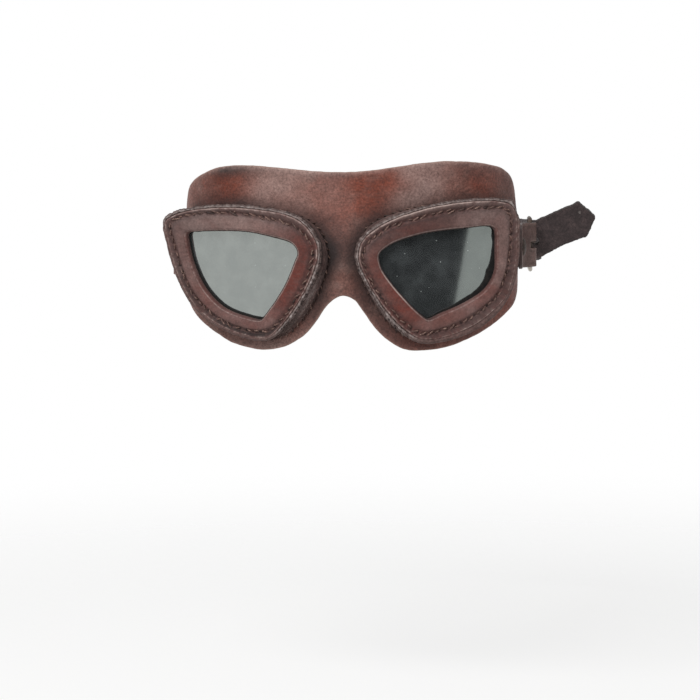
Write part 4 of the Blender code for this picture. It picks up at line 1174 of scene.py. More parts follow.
# %% Marks of the front plates
# Spots in millimetres across and up the plate: (across, up, how wide, how high, how strong)
PLATE_RED = {
    "left": [(6, -5, 9, 13, 0.65), (19, -22, 12, 10, 1.1), (37, -28, 14, 8, 0.65),
             (22, 12, 18, 8, 0.7), (57, -16, 10, 10, 0.60), (60, 6, 8, 8, 0.2)],
    "right": [(8, -1, 9, 14, 0.95), (15, -19, 10, 12, 0.85), (34, 14, 14, 5, 0.5),
              (46, -22, 12, 8, 0.35), (30, -30, 12, 6, 0.35), (66, 6, 8, 10, 0.15),
              (58, -15, 9, 8, 0.50), (7, 8, 8, 7, 0.30)]}
PLATE_PALE_AND_LIT = {
    "left": [(62, 8, 7, 9, 0.20), (50, 17, 9, 5, 0.12), (36, -28, 12, 7, 0.12),
             (63, -9, 8, 9, 0.20)],
    "right": [(40, 16, 16, 6, 0.35), (66, 12, 8, 12, 0.12), (58, -14, 9, 9, 0.08)]}
PLATE_DUSK = {
    "left": [(10, 8, 12, 7, 0.38), (30, 14, 16, 7, 0.40), (57, -14, 12, 12, 0.05),
             (62, 8, 8, 8, 0.10), (56, 18, 7, 5, 0.12)],
    "right": [(6, 2, 8, 12, 0.28), (15, -19, 8, 9, 0.15), (34, -28, 14, 8, 0.10),
              (70, 14, 6, 8, 0.25), (64, -4, 8, 16, 0.10), (59, 16, 8, 5, 0.12)]}
# Along the seam, dirt fills some lengths and was wiped out of others (below 0).
SEAM_SOIL = {
    "left": [(16, -22, 7, 6, -0.28)],
    "right": [(31, -31, 11, 6, 0.40), (45, -27, 7, 6, 0.30), (60, -13, 7, 8, 0.16)]}
RIM_SHINE = {
    "left": [(26, 15, 16, 6, 1.0), (46, 18, 12, 5, 0.4), (6, 6, 6, 8, 0.2)],
    "right": [(40, 18, 30, 6, 0.3), (6, -12, 8, 16, 0.25)]}
LIP_SHINE = {
    "left": [(12, -16, 9, 13, 1.0), (50, -12, 8, 10, 0.2)],
    "right": [(46, -16, 14, 10, 0.6), (14, 0, 8, 12, 0.5)]}
PLATE_MARKS = (PLATE_RED, PLATE_PALE_AND_LIT, PLATE_DUSK, SEAM_SOIL, RIM_SHINE, LIP_SHINE)
print("spots on the left plate:", sum(len(spots["left"]) for spots in PLATE_MARKS))

# %% Build the front plates
PLATE_THICK, PLATE_ROUND = 2.5 * MM, 0.5 * MM
PAD_SWELL = 0.55 * MM
# The lip of the opening: (millimetres outside its edge, depth, how pale from wear and a
# painted highlight, how dark from dirt and painted shade)
LIP_PROFILE = [(1.0, -0.16, 0.5, 0.1), (0.8, -0.06, 1.0, 0.0), (0.6, 0.08, 0.8, 0.2),
               (0.45, 0.20, 0.1, 0.8), (0.2, 0.42, 0.0, 0.95), (0.0, 0.75, 0.0, 0.9)]


def pulled(phase):
    """1 at a stitch hole, 0 between holes."""
    off = np.abs((phase + 0.5) % 1.0 - 0.5)
    return np.exp(-(off / 0.17) ** 2)


def build_plate(cup):
    """The padded front plate with its puckered groove."""
    band, hole = Band(len(cup.edge)), pulled(cup.phase)
    rough, fine = wobble(cup.edge, 4 * MM, 11.0), wobble(cup.edge, 1.3 * MM, 17.0)
    middle = cup.edge + cup.inward * (cup.width / 2)[:, None]
    red, pale_and_lit, dusk, soil, rim, shine = (soft_spots(*middle.T, spots[cup.name])
                                         for spots in PLATE_MARKS)
    # The outer edge rolls over. It is rubbed where it stands out, a painted highlight runs
    # along its rim, and painted shade darkens its side.
    edge = cup.trim + 0.14 * MM * (rough + fine)
    rubbed = np.clip(0.15 + 1.1 * rim + 0.7 * fine + 0.4 * rough, 0.0, 1.0)
    bulge = -0.10 * MM * (1 - hole)
    band.row(cup.ring(edge, PLATE_THICK), grime=0.3)
    band.row(cup.ring(edge, 1.1 * MM), grime=0.1)
    for angle in np.radians([0, 25, 50, 75, 90]):
        inset = edge + PLATE_ROUND * (1 - math.cos(angle))
        depth = PLATE_ROUND * (1 - math.sin(angle)) + bulge * math.sin(angle)
        band.row(cup.ring(inset, depth), wear=rubbed * math.sin(angle),
                 grime=0.20 * math.cos(angle), flush=0.3 * red)
    # A strip darkened with dirt and painted shade leads down to the groove of the seam.
    first, last = edge + 0.7 * MM, cup.seam - 0.8 * MM
    for share in (0.0, 0.3, 0.6, 1.0):
        depth = bulge * (1 - share) + 0.15 * MM * share + 0.06 * MM * fine
        band.row(cup.ring(first + (last - first) * share, depth),
                 wear=0.3 * rubbed * (1 - share) ** 2,
                 grime=0.46 + 0.20 * share + 0.24 * fine + soil, flush=0.5 * red + 0.1)
    # The groove is painted darker as shade, most of all at the stitch holes.
    for offset, share in ((-0.55, 0.6), (-0.3, 0.9), (0.0, 1.0), (0.3, 0.9), (0.55, 0.6)):
        band.row(cup.ring(cup.seam + offset * MM, share * (0.34 * MM + 0.42 * MM * hole)),
                 grime=share * (0.58 + 0.28 * hole * (0.6 + 1.2 * rough)) + 0.45 * fine
                       + 0.7 * soil,
                 flush=0.5 * red + 0.2)
    band.row(cup.ring(cup.seam + 0.9 * MM, 0.10 * MM + 0.12 * MM * hole),
             grime=0.38 + 0.25 * hole + 0.2 * fine, flush=0.7 * red)
    # The pad swells between the seam and the opening. Painted shade darkens it next to the
    # seam, and its pale spots include painted light.
    reach = cup.width - cup.seam
    for share in (0.20, 0.27, 0.35, 0.45, 0.55, 0.65, 0.75, 0.84):
        swell = PAD_SWELL * math.sin(math.pi * min(1.0, share * 0.95)) ** 0.8
        band.row(cup.ring(cup.seam + reach * share, -swell + 0.06 * MM * rough),
                 grime=0.36 * math.exp(-(share - 0.20) / 0.10) + dusk,
                 flush=red * (0.8 + 0.4 * share), wear=pale_and_lit * (0.6 + 0.4 * rough))
    # The cut through the leather inside the opening is darkened with edge dye and painted
    # shade. At the outer side, where the eye looks at it, it stays brown as if lit.
    lip = cup.width + 0.06 * MM * fine
    lit_cut = np.clip(cup.spans - 4.8, 0, 1) * np.clip(12.0 - cup.spans, 0, 1)
    glint = np.clip(0.30 + 0.9 * shine + 0.3 * fine - 0.2 * lit_cut, 0, 1)
    band.row(cup.ring(lip - 1.25 * MM, -0.22 * MM), grime=dusk, flush=red)
    for inset, depth, worn_and_lit, dirt_and_shade in LIP_PROFILE:
        band.row(cup.ring(lip - inset * MM, depth * MM), wear=worn_and_lit * glint,
                 grime=dirt_and_shade * (1 - 0.75 * lit_cut) + 0.6 * dusk * (dirt_and_shade < 0.5),
                 flush=0.5 * red + 0.3 * lit_cut)
    band.row(cup.ring(lip, 0.55 * PLATE_THICK), grime=0.95 - 0.75 * lit_cut,
             flush=0.3 * lit_cut)
    band.row(cup.ring(lip + 0.2 * MM * lit_cut, PLATE_THICK), grime=0.95 - 0.6 * lit_cut)
    band.piece(f"padded_plate_{cup.name}", CUP_LEATHER, f"front_plate_{cup.name}", "cup_leather")


for cup in cups:
    build_plate(cup)

# %% [markdown]
# ## Side walls
# The side wall is softer leather. Its upper edge is folded into a thick roll that stands
# out beside the plate, and the stitches pull the roll in at every hole, which gives it
# the look of a rope. Below the roll the wall creases where the cup turns a corner. Cloth
# physics could crease it, but waves along the rings give the same folds on every run.

# %% Build the side walls
WALL_THICK = 1.5 * MM
FLANGE_WIDTH = 4.0 * MM
# Where the wall's roll stands out further or less, in millimetres: (span, swell)
ROLL_SWELLS = {"left": [(11.0, -0.8), (11.9, 0.7)], "right": [(10.4, 0.4), (11.8, 0.2)]}
ROLL_DEPTH, ROLL_HEIGHT = 1.30 * MM, 1.20 * MM
CREASE_PITCH = 2.1 * MM


def streaks(cup, across, length, seed):
    """Noise drawn out along the seam, at one place across it."""
    along = cup.phase * STITCH_PITCH
    wrap = np.minimum(1.0, np.minimum(cup.phase, cup.stitches - cup.phase))
    spots = np.column_stack([along / length, np.full(len(along), across / (0.5 * MM))])
    return wobble(spots, 1.0, seed) * wrap


def build_roll(cup, band, outer, brown, rough, fine):
    """The rolled edge, from its inner side beside the plate over its crest to the outside."""
    # Painted shadows of the lumps fall along the roll's outer side.
    painted_lump_shadows = np.clip(2.5 * wobble(cup.edge, 0.9 * MM, 47.0), 0, 1) * (1 - brown)
    inner = cup.trim + (0.40 + 0.45 * brown) * MM
    # The flange under the plate is painted dark with shade.
    band.row(cup.ring(FLANGE_WIDTH, PLATE_THICK + GAP), grime=0.8)
    band.row(cup.ring(inner + 0.6 * MM, PLATE_THICK + GAP), grime=0.9)
    for angle in np.radians(np.arange(-40, 221, 13))[::-1]:
        twist = pulled(cup.phase + 0.30 * angle / math.pi)
        across = angle * 1.3 * MM
        fleck = 0.5 * (streaks(cup, across, 2.4 * MM, 33.0) + streaks(cup, across, 0.9 * MM, 35.0))
        crease = np.cos(4.2 * angle + 1.2 * rough)
        lump = 1.0 + (1 - 0.6 * brown) * (0.08 * crease - 0.12 * twist + 0.14 * rough
                                          + 0.22 * fleck + 0.10 * fine)
        inset = (inner + outer) / 2 - (inner - outer) / 2 * lump * math.cos(angle)
        depth = ROLL_DEPTH - ROLL_HEIGHT * lump * math.sin(angle)
        crest = max(0.0, math.sin(angle))
        # Painted shade fills the pulls at the stitch holes and the valleys of the creases, and the
        # crest is rubbed pale, which also paints its highlight.
        dirt_and_shade = 0.20 - 0.15 * crest + 0.22 * twist - 0.20 * crease - 0.6 * fleck
        rubbed = np.clip(0.12 + 0.25 * crease + 1.3 * fleck + 0.35 * fine, 0.0, 1.0)
        band.row(cup.ring(inset, depth), flush=0.9 * brown,
                 grime=dirt_and_shade * (1 - 0.6 * brown) + 0.9 * painted_lump_shadows * (angle < 1.1) + 0.18 * brown,
                 wear=crest * rubbed * (1 - 0.5 * twist) * (1 - 0.9 * brown))


def build_side(cup, band, outer, rough):
    """The creased side, from under the roll down to the foot."""
    nose_side = np.clip((28 - cup.edge[:, 0] / MM) / 20, 0, 1)
    # High beside the nose the wall lies in the shade of the roll, and that shade is painted on it.
    painted_roll_shadow = nose_side * np.clip((cup.edge[:, 1] / MM + 14) / 8, 0, 1)
    upper = cup.ring(outer + 0.45 * MM, PLATE_THICK + GAP + 2.2 * MM)
    lower = cup.foot_ring(0.0, GAP + WALL_THICK)
    away = unit(upper - upper.mean(axis=0))
    span = np.linalg.norm(lower - upper, axis=1)
    for share in np.linspace(0.0, 1.0, 18):
        middle = upper + (lower - upper) * share
        fold = np.cos(2 * math.pi * share * span / CREASE_PITCH + 1.5 * rough)
        slack = wobble(middle, 9.0 * MM, 37.0)
        across = share * 9 * MM
        fleck = 0.5 * (streaks(cup, across, 2.6 * MM, 39.0) + streaks(cup, across, 0.9 * MM, 41.0))
        push = math.sin(math.pi * share) * (0.16 * fold + 0.14 * fleck + 0.45 * slack) * MM
        # Painted shade darkens the wall under the roll, at its foot and in the valleys of its
        # creases, and the crests of the creases are painted lighter.
        corner_shade = 0.8 * math.exp(-share / 0.10) + 0.8 * math.exp(-(1 - share) / 0.10)
        # Beside the nose the upper half gets painted light and the lower half painted shade.
        fibrous = 0.3 + 0.7 * nose_side * (share < 0.6)
        painted_foot_shade = nose_side * np.clip((share - 0.35) / 0.4, 0, 1)
        rubbed = np.clip(0.30 * nose_side * (share < 0.45) + 0.15 * fold + 0.6 * fleck, 0.0, 0.7)
        band.row(middle + away * np.reshape(push, (-1, 1)),
                 grime=0.10 + 0.45 * corner_shade + 0.45 * painted_foot_shade + 0.26 * painted_roll_shadow
                       - (0.20 * fold + 0.4 * fleck) * fibrous,
                 wear=rubbed * (1 - min(1.0, corner_shade)) * fibrous * (1 - painted_roll_shadow),
                 flush=0.75 - 0.1 * nose_side + 0.3 * painted_foot_shade)
    print("wall height:", round(span.min() / MM, 1), "to", round(span.max() / MM, 1), "mm")


def build_wall(cup):
    """The soft wall: flange, rolled edge, creased side and sewn foot."""
    top, foot = PLATE_THICK + GAP, GAP + WALL_THICK
    band = Band(len(cup.edge))
    rough, fine = wobble(cup.edge, 3.2 * MM, 23.0), wobble(cup.edge, 1.0 * MM, 29.0)
    # The roll is rubbed grey beside the nose and above, and stays brown at the other sides.
    brown = np.clip(cup.spans - 3.2, 0, 1) * np.clip(11.3 - cup.spans, 0, 1)
    outer = np.minimum(-0.45 * MM, cup.trim - 1.3 * MM) - 0.15 * MM * rough
    for at, swell in ROLL_SWELLS[cup.name]:
        outer = outer - swell * MM * np.exp(-((cup.spans - at) / 0.35) ** 2)
    outer = outer - 0.30 * MM * fine * (1 - brown)
    build_roll(cup, band, outer, brown, rough, fine)
    # Painted shade darkens the wall where it tucks under the roll.
    band.row(cup.ring(outer + 0.75 * MM, top + 1.3 * MM), grime=0.8)
    build_side(cup, band, outer, rough)
    # Painted shade darkens the foot, where the wall meets the mask.
    for inset, out, dirt_and_shade in ((PLATE_ROUND, GAP, 0.9), (FOOT_WIDTH, GAP, 0.6),
                             (FOOT_WIDTH, foot, 0.3)):
        band.row(cup.foot_ring(inset, out), grime=dirt_and_shade)
    # The inside of the wall leads back up to the flange.
    upper = cup.ring(outer + 0.6 * MM + WALL_THICK, top + WALL_THICK)
    lower = cup.foot_ring(WALL_THICK, foot)
    for share in np.linspace(1.0, 0.0, 5):
        band.row(upper + (lower - upper) * share, grime=0.2)
    band.row(cup.ring(FLANGE_WIDTH, top + WALL_THICK), grime=0.3)
    band.piece(f"soft_wall_{cup.name}", EDGE_LEATHER, f"eyecup_wall_{cup.name}", "cup_leather")


for cup in cups:
    build_wall(cup)

# %% [markdown]
# ## Stitches
# The third kind of mesh is a *row of stitches*. The seams are sewn with waxed two-ply
# linen. A hand stitch slants: it comes up through one awl hole, lies over the leather, and
# goes down through the next. Each one is a short tube whose round section is pinched into
# two plies that twist along it.

# %% One stitch
THREAD_RADIUS = 0.38 * MM
TWIST_LENGTH = 1.9 * MM
THREAD_SIDES = 10


def twisted_thread(path):
    """Points and faces of one short length of two-ply thread."""
    along = unit(np.gradient(path, axis=0))
    # Any direction that no stitch runs along can start the thread's sideways directions.
    side = unit(np.cross(along, np.array([0.13, 0.31, 0.94])))
    lift = np.cross(along, side)
    length = np.concatenate([[0.0], np.cumsum(np.linalg.norm(np.diff(path, axis=0), axis=1))])
    angles = np.linspace(0.0, 2 * math.pi, THREAD_SIDES, endpoint=False)
    turned = angles[None] - 2 * math.pi * (1 / TWIST_LENGTH) * length[:, None]
    share = length / length[-1]
    swell = THREAD_RADIUS * (0.86 + 0.20 * np.cos(2 * turned))
    swell = swell * np.clip(np.minimum(share, 1 - share) * 5 + 0.55, 0.0, 1.0)[:, None]
    ring = (path[:, None] + swell[..., None]
            * (np.cos(angles)[None, :, None] * side[:, None]
               + np.sin(angles)[None, :, None] * lift[:, None]))
    count, last = THREAD_SIDES, (len(path) - 1) * THREAD_SIDES
    faces = [(low + j, low + (j + 1) % count, low + count + (j + 1) % count, low + count + j)
             for low in range(0, last, count) for j in range(count)]
    faces += [tuple(range(count)), tuple(range(last, last + count))[::-1]]
    return ring.reshape(-1, 3), faces


def sew(name, paths, dirt_and_shade, stands_for):
    """All stitches of one seam as one piece, some darker than others from dirt and painted shade.
    """
    points, faces, grime = [], [], []
    for k, path in enumerate(paths):
        ring, squares = twisted_thread(path)
        start = k * len(ring)
        points.append(ring)
        faces.extend(tuple(start + i for i in face) for face in squares)
        grime.append(np.full(len(ring), dirt_and_shade + 1.5 * noise.noise(Vector((k * 0.9, 7.5, 1.5)))))
    make_piece(name, np.vstack(points), faces, THREAD, "mask", [stands_for],
               {"grime": np.concatenate(grime)})


print("one straight stitch has", len(twisted_thread(np.outer(range(11), (0.3 * MM, 0, 0)))[0]),
      "points")

# %% Sew the seams
# The stitches at the wall's foot are painted dark as shade; the plate's get a little dirt.
PLATE_DIRT, FOOT_PAINTED_SHADE = 0.08, 0.80
FOOT_STITCH = 2.2 * MM


def plate_stitches(cup):
    """Slanted stitches in the plate's groove."""
    seam = np.arange(len(cup.edge) + 1)
    phase = np.append(cup.phase, cup.stitches)
    share = np.linspace(0.0, 1.0, 11)
    paths = []
    for k in range(cup.stitches):
        jitter, stray = (noise.noise(Vector((k * 1.7, cup.side * 3.0, c))) for c in (0.5, 4.5))
        start, length = k + 0.10 + 0.45 * stray, 0.74 + 0.55 * jitter
        at = np.interp(start + length * share, phase, seam) % len(cup.edge)
        low = np.floor(at).astype(int) % len(cup.edge)
        part = (at - np.floor(at))[:, None]
        edge = cup.edge[low] * (1 - part) + cup.edge[(low + 1) % len(cup.edge)] * part
        slant = 0.40 + 1.3 * jitter
        inset = cup.seam[low] + (slant * (2 * share - 1) + 0.9 * stray) * MM
        rise = np.sin(math.pi * share) ** 0.6
        depth = 0.80 * MM - (0.80 + 0.45 * stray) * MM * rise
        paths.append(cup.spot(edge + cup.inward[low] * inset[:, None], depth))
    return paths


def foot_stitches(cup):
    """Over-stitches that tie the wall's foot down to the mask."""
    line = cup.foot_ring(0.0, 0.0)
    steps = np.linalg.norm(np.roll(line, -1, axis=0) - line, axis=1)
    total = steps.sum()
    along = np.append(np.cumsum(steps) - steps, total)
    index = np.arange(len(line) + 1)
    count = round(total / STITCH_PITCH)
    share = np.linspace(0.0, 1.0, 9)
    paths = []
    for k in range(count):
        jitter = noise.noise(Vector((k * 1.3, cup.side * 5.0, 2.5)))
        start = (k + 0.15 + 0.15 * jitter) / count * total
        at = np.interp(start + share * FOOT_STITCH, along, index) % len(line)
        near = np.round(at).astype(int) % len(line)
        inset = (0.6 - 1.2 * share) * MM
        out = (1.8 - 1.9 * share + 0.45 * np.sin(math.pi * share)) * MM
        flat = cup.foot[near] + cup.foot_inward[near] * inset[:, None]
        paths.append(on_mask(flat[:, 0], flat[:, 1], out))
    return paths


for cup in cups:
    sew(f"plate_stitches_{cup.name}", plate_stitches(cup), PLATE_DIRT, f"plate_thread_{cup.name}")
    sew(f"foot_stitches_{cup.name}", foot_stitches(cup), FOOT_PAINTED_SHADE, f"foot_thread_{cup.name}")

# %% [markdown]
# ## Lenses and retainers
# Each lens is one flat pane, and a leather ring holds it from behind. They could be cut
# again as sheets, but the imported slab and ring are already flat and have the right
# outline, so they keep their meshes and only get the glass and the leather.


# %% Lenses and retainers
def finish_node(name, surface):
    """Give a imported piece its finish."""
    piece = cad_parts[name]
    piece.data.materials.clear()
    piece.data.materials.append(surface)


for name in SIDES:
    finish_node(f"lens_{name}", GLASS)
    finish_node(f"lens_retainer_{name}", CUP_LEATHER)
print("lenses and retainers keep their packed meshes")

# %% [markdown]
# ## Gaskets
# A rubber ring seals each lens against the plate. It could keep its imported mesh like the
# lens, but it shows: it stands out unevenly from under the plate, and its lip is widest
# at the outer lower side. So it is cut again, as a band.

# %% Build the gaskets
GASKET_THICK, GASKET_LAP = 0.8 * MM, 3.5 * MM
# How far the lip stands into the opening, in millimetres: (span of the outline, width)
GASKET_LIP = {
    "left": [(0, 0.35), (3.5, 0.35), (4.6, 0.5), (5.5, 0.7), (6, 0.9), (6.5, 1.0), (7, 1.5),
             (7.6, 1.7), (8, 2.1), (8.5, 2.4), (9, 3.2), (9.3, 2.4), (9.7, 1.4), (10, 0.9),
             (10.4, 0.6), (10.6, 1.1), (11, 0.5), (11.5, 0.1), (12.5, 0.2), (16, 0.35)],
    "right": [(0, 0.3), (3.5, 0.4), (5, 0.9), (7, 1.0), (9, 0.8), (10, 0.4), (10.7, 0.05),
              (12, 0.2), (16, 0.3)]}


def build_gasket(cup):
    """The flat rubber ring between the plate and the lens."""
    lip = along_cup(cup.spans, np.array(GASKET_LIP[cup.name]).T, 12)
    lip = lip + 0.12 * MM * wobble(cup.lip, 1.6 * MM, 61.0)
    outer = cup.opening - cup.inward * GASKET_LAP
    inner = cup.lip + left_hand(soften(cup.lip, 8)) * lip[:, None]
    front, back = PLATE_THICK + GAP, PLATE_THICK + GAP + GASKET_THICK
    rings = [cup.spot(flat, np.full(len(flat), depth)) for flat, depth in (
        (outer, front), (cup.lip, front), (inner, front + 0.15 * MM),
        (inner, back), (cup.lip, back), (outer, back))]
    make_piece(f"rubber_gasket_{cup.name}", np.vstack(rings),
               band_faces(len(rings), len(cup.lip)), RUBBER, "mask",
               [f"lens_gasket_{cup.name}"])


for cup in cups:
    build_gasket(cup)

# %% [markdown]
# ## Paths of the tabs and the strap
# Tabs and strap are flat strips. Each is cut flat and then bent along a path seen from
# above: the buckle tab folds round the buckle's bar and straddles the wing, the other tab
# runs back to the strap's fixed end, and the strap goes round behind, through the buckle
# and out over a leaning fold, where its pointed end stands free. A curve modifier could
# bend them, but a path of one's own keeps every length true.


# %% Paths seen from above
class PlanPath:
    """A path through corners, each rounded by its own radius, stored as dense points."""

    def __init__(self, corners, step=0.4 * MM):
        spots = [np.array(c[:2], float) for c in corners]
        line = [spots[0]]
        for k in range(1, len(spots) - 1):
            ahead, leaving = unit(spots[k] - spots[k - 1]), unit(spots[k + 1] - spots[k])
            turn = math.atan2(ahead[0] * leaving[1] - ahead[1] * leaving[0], ahead @ leaving)
            radius = corners[k][2]
            start = spots[k] - ahead * radius * math.tan(abs(turn) / 2)
            side = math.copysign(1.0, turn) * np.array([-ahead[1], ahead[0]])
            angles = np.linspace(0.0, abs(turn), max(3, math.ceil(abs(turn) * radius / step)))
            line.extend(start + radius * (math.sin(a) * ahead + (1 - math.cos(a)) * side)
                        for a in angles)
        line.append(spots[-1])
        line = np.array(line)
        steps = np.linalg.norm(np.diff(line, axis=0), axis=1)
        keep = np.append(True, steps > 1e-7)
        self.line = line[keep]
        steps = np.linalg.norm(np.diff(self.line, axis=0), axis=1)
        self.along = np.append(0.0, np.cumsum(steps))
        self.length = self.along[-1]

    def at(self, distance):
        """Places at distances along the path; past an end the path runs straight on."""
        inner = np.clip(distance, 0.0, self.length)
        spot = np.stack([np.interp(inner, self.along, self.line[:, k]) for k in (0, 1)], -1)
        return spot + self.heading(inner) * (distance - inner)[..., None]

    def heading(self, distance):
        """Directions at distances along the path."""
        ahead = np.clip(distance + 0.2 * MM, 0.0, self.length)
        behind = np.clip(distance - 0.2 * MM, 0.0, self.length)
        spots = [np.stack([np.interp(d, self.along, self.line[:, k]) for k in (0, 1)], -1)
                 for d in (behind, ahead)]
        return unit(spots[1] - spots[0])

    def stand(self, distance, height, out):
        """Points of a sheet that stands on edge along the path; out is to its right."""
        spot, ahead = self.at(distance), self.heading(np.clip(distance, 0.0, self.length))
        across = [spot[:, 0] + ahead[:, 1] * out, spot[:, 1] - ahead[:, 0] * out]
        return np.stack([*across, height], -1)


elbow = PlanPath([(0, 0), (20 * MM, 0, 5 * MM), (20 * MM, 20 * MM)])
print("a 20 by 20 mm elbow with a 5 mm bend is", round(elbow.length / MM, 1), "mm long")

# %% [markdown]
# ## Tabs
# Both tabs are firm 1.8 mm leather, rounded where they are riveted to the wing. Their cut
# edges are rubbed pale, and dirt lies in a line just inside them. One function cuts both
# and stands them on their paths, so that they can't come out differently.

# %% Build the tabs
TAB_THICK, STRAP_TAB_WIDTH = 1.8 * MM, 26 * MM
WIRE_RADIUS, PRONG_RADIUS = 1.0 * MM, 0.8 * MM
BAR = np.array([SIDE_X + 5.5 * MM, PIVOT_Y + 21 * MM])
TAB_SIDE_X = SIDE_X + 11.6 * MM
LAP_START, LAP_LENGTH = BAR[1] + 3.5 * MM, 16 * MM


def tab_shape(length, half, round_end):
    """A strip with a round end about its rivet."""
    near = arc((half, STRAP_HEIGHT), half, 1.5 * math.pi, 0.5 * math.pi, 40)
    if round_end:
        far = arc((length - half, STRAP_HEIGHT), half, 0.5 * math.pi, -0.5 * math.pi, 40)
    else:
        far = np.array([(length, STRAP_HEIGHT + half), (length, STRAP_HEIGHT - half)])
    return np.vstack([near, far])


def cut_tab(path, half, round_end, holes, seed, cell, spacing):
    """A tab laid flat and stood along its path, with the marks of its edges."""
    edge = hand_cut(tab_shape(path.length, half, round_end), KNIFE_WAVER, seed)
    flat, faces, edge_off, cut = sheet(edge, holes, TAB_THICK, 0.5 * MM, cell, spacing)
    s, z, depth = flat.T
    marks = {"wear": fade(edge_off, 0.6 * MM), "grime": fade(edge_off - 1.4 * MM, 0.5 * MM),
             "raw": cut}
    return s, path.stand(s, z, TAB_THICK / 2 - depth), faces, marks


def build_buckle_tab():
    """The folded tab that straddles the wing and holds the buckle's bar."""
    half, wrap = TAB_WIDTH / 2, WIRE_RADIUS + GAP + TAB_THICK / 2
    outer_x = SIDE_X + GAP + TAB_THICK / 2
    inner_x = SIDE_X - MASK_THICK - GAP - TAB_THICK / 2
    front_y, clear_y = PIVOT_Y - half, PIVOT_Y + half + TAB_THICK
    lean = unit(BAR - np.array([(outer_x + inner_x) / 2, clear_y - TAB_THICK]))
    side = np.array([lean[1], -lean[0]])
    bend = wrap * 0.999
    path = PlanPath([(outer_x, front_y), (outer_x, clear_y, 4 * TAB_THICK),
                     (*(BAR + wrap * (lean + side)), bend), (*(BAR + wrap * (lean - side)), bend),
                     (inner_x, clear_y, 4 * TAB_THICK), (inner_x, front_y)], 0.2 * MM)
    # The prong comes out through a slot in the fold.
    bar_at = path.along[np.argmax(path.line @ lean)]
    reach = wrap * math.pi / 2 + WIRE_RADIUS + 2 * GAP + 2 * PRONG_RADIUS
    slot = [(bar_at + a * reach, STRAP_HEIGHT + b * 1.4 * MM)
            for a, b in ((-1, -1), (1, -1), (1, 1), (-1, 1))]
    holes = [round_hole(half), round_hole(path.length - half), slot]
    s, points, faces, marks = cut_tab(path, half, True, holes, 41.0, 0.9 * MM, 0.5 * MM)
    # The fold round the bar is rubbed pale and carries a painted highlight.
    marks["wear"] = 0.55 * marks["wear"] + 0.30 * np.exp(-((s - bar_at) / (3 * MM)) ** 2)
    marks["grime"] = 0.5 * marks["grime"]
    make_piece("folded_buckle_tab", points, faces, TAB_LEATHER, "head_strap",
               ["buckle_tab_left"], marks)


def build_strap_tab():
    """The tab on the wearer's right."""
    half = STRAP_TAB_WIDTH / 2
    near_x, far_x = -(SIDE_X + GAP + TAB_THICK / 2), -(TAB_SIDE_X - TAB_THICK / 2)
    path = PlanPath([(near_x, PIVOT_Y - half), (near_x, PIVOT_Y + TAB_WIDTH / 2, 4 * TAB_THICK),
                     (far_x, BAR[1], 4 * TAB_THICK), (far_x, LAP_START + LAP_LENGTH)])
    holes = [round_hole(half), round_hole(path.length - LAP_LENGTH / 2)]
    s, points, faces, marks = cut_tab(path, half, False, holes, 43.0, 1.0 * MM, 0.6 * MM)
    marks["wear"] = 0.5 * marks["wear"]
    marks["grime"] = 0.4 * marks["grime"]
    marks["flush"] = np.full(len(s), 0.4)
    make_piece("riveted_strap_tab", points, faces, MASK_LEATHER, "head_strap",
               ["strap_tab_right"], marks)


build_buckle_tab()
build_strap_tab()

# %% [markdown]
# ## Strap
# The strap is one strip of rough-out leather, 18 mm wide and 2.6 mm thick, with a pointed
# end and a row of punched holes. Knife and wear leave its edges frayed, so fine noise
# about half a millimetre deep breaks its outline. Past the buckle it turns outward over a
# fold that leans. No path seen from above can lean, so the free end is turned round the
# fold's own axis instead.

# %% The strap's path and fold
STRAP_WIDTH, STRAP_THICK = 18 * MM, 2.6 * MM
FAR_BAR_X = SIDE_X + 4.9 * MM
LOOP_HALF, LOOP_BACK, LOOP_RADIUS = SIDE_X + 9.3 * MM, BAR[1] + 119 * MM, 74 * MM
FOLD_RADIUS, FOLD_LEAN, FOLD_ANGLE = 3.5 * MM, math.radians(25), math.radians(90)
FOLD_Y = BAR[1] + 15.5 * MM
FIXED_X = -(TAB_SIDE_X - TAB_THICK - GAP - STRAP_THICK / 2)
FOLD_X = FAR_BAR_X - WIRE_RADIUS - GAP - STRAP_THICK / 2
FOLD_RUN = FOLD_RADIUS * FOLD_ANGLE


def strap_path():
    """From the fixed end round the loop to the root of the fold."""
    straight = FOLD_Y + 2 * FOLD_RADIUS + STRAP_WIDTH * math.tan(FOLD_LEAN) / 2
    return PlanPath([
        (FIXED_X, LAP_START), (FIXED_X, LAP_START + 1.5 * LAP_LENGTH, LOOP_RADIUS),
        (-LOOP_HALF, LOOP_BACK, LOOP_RADIUS), (LOOP_HALF, LOOP_BACK, LOOP_RADIUS),
        (LOOP_HALF, straight + STRAP_WIDTH / 2, STRAP_WIDTH),
        (FOLD_X, straight, 2 * FOLD_RADIUS), (FOLD_X, FOLD_Y)])


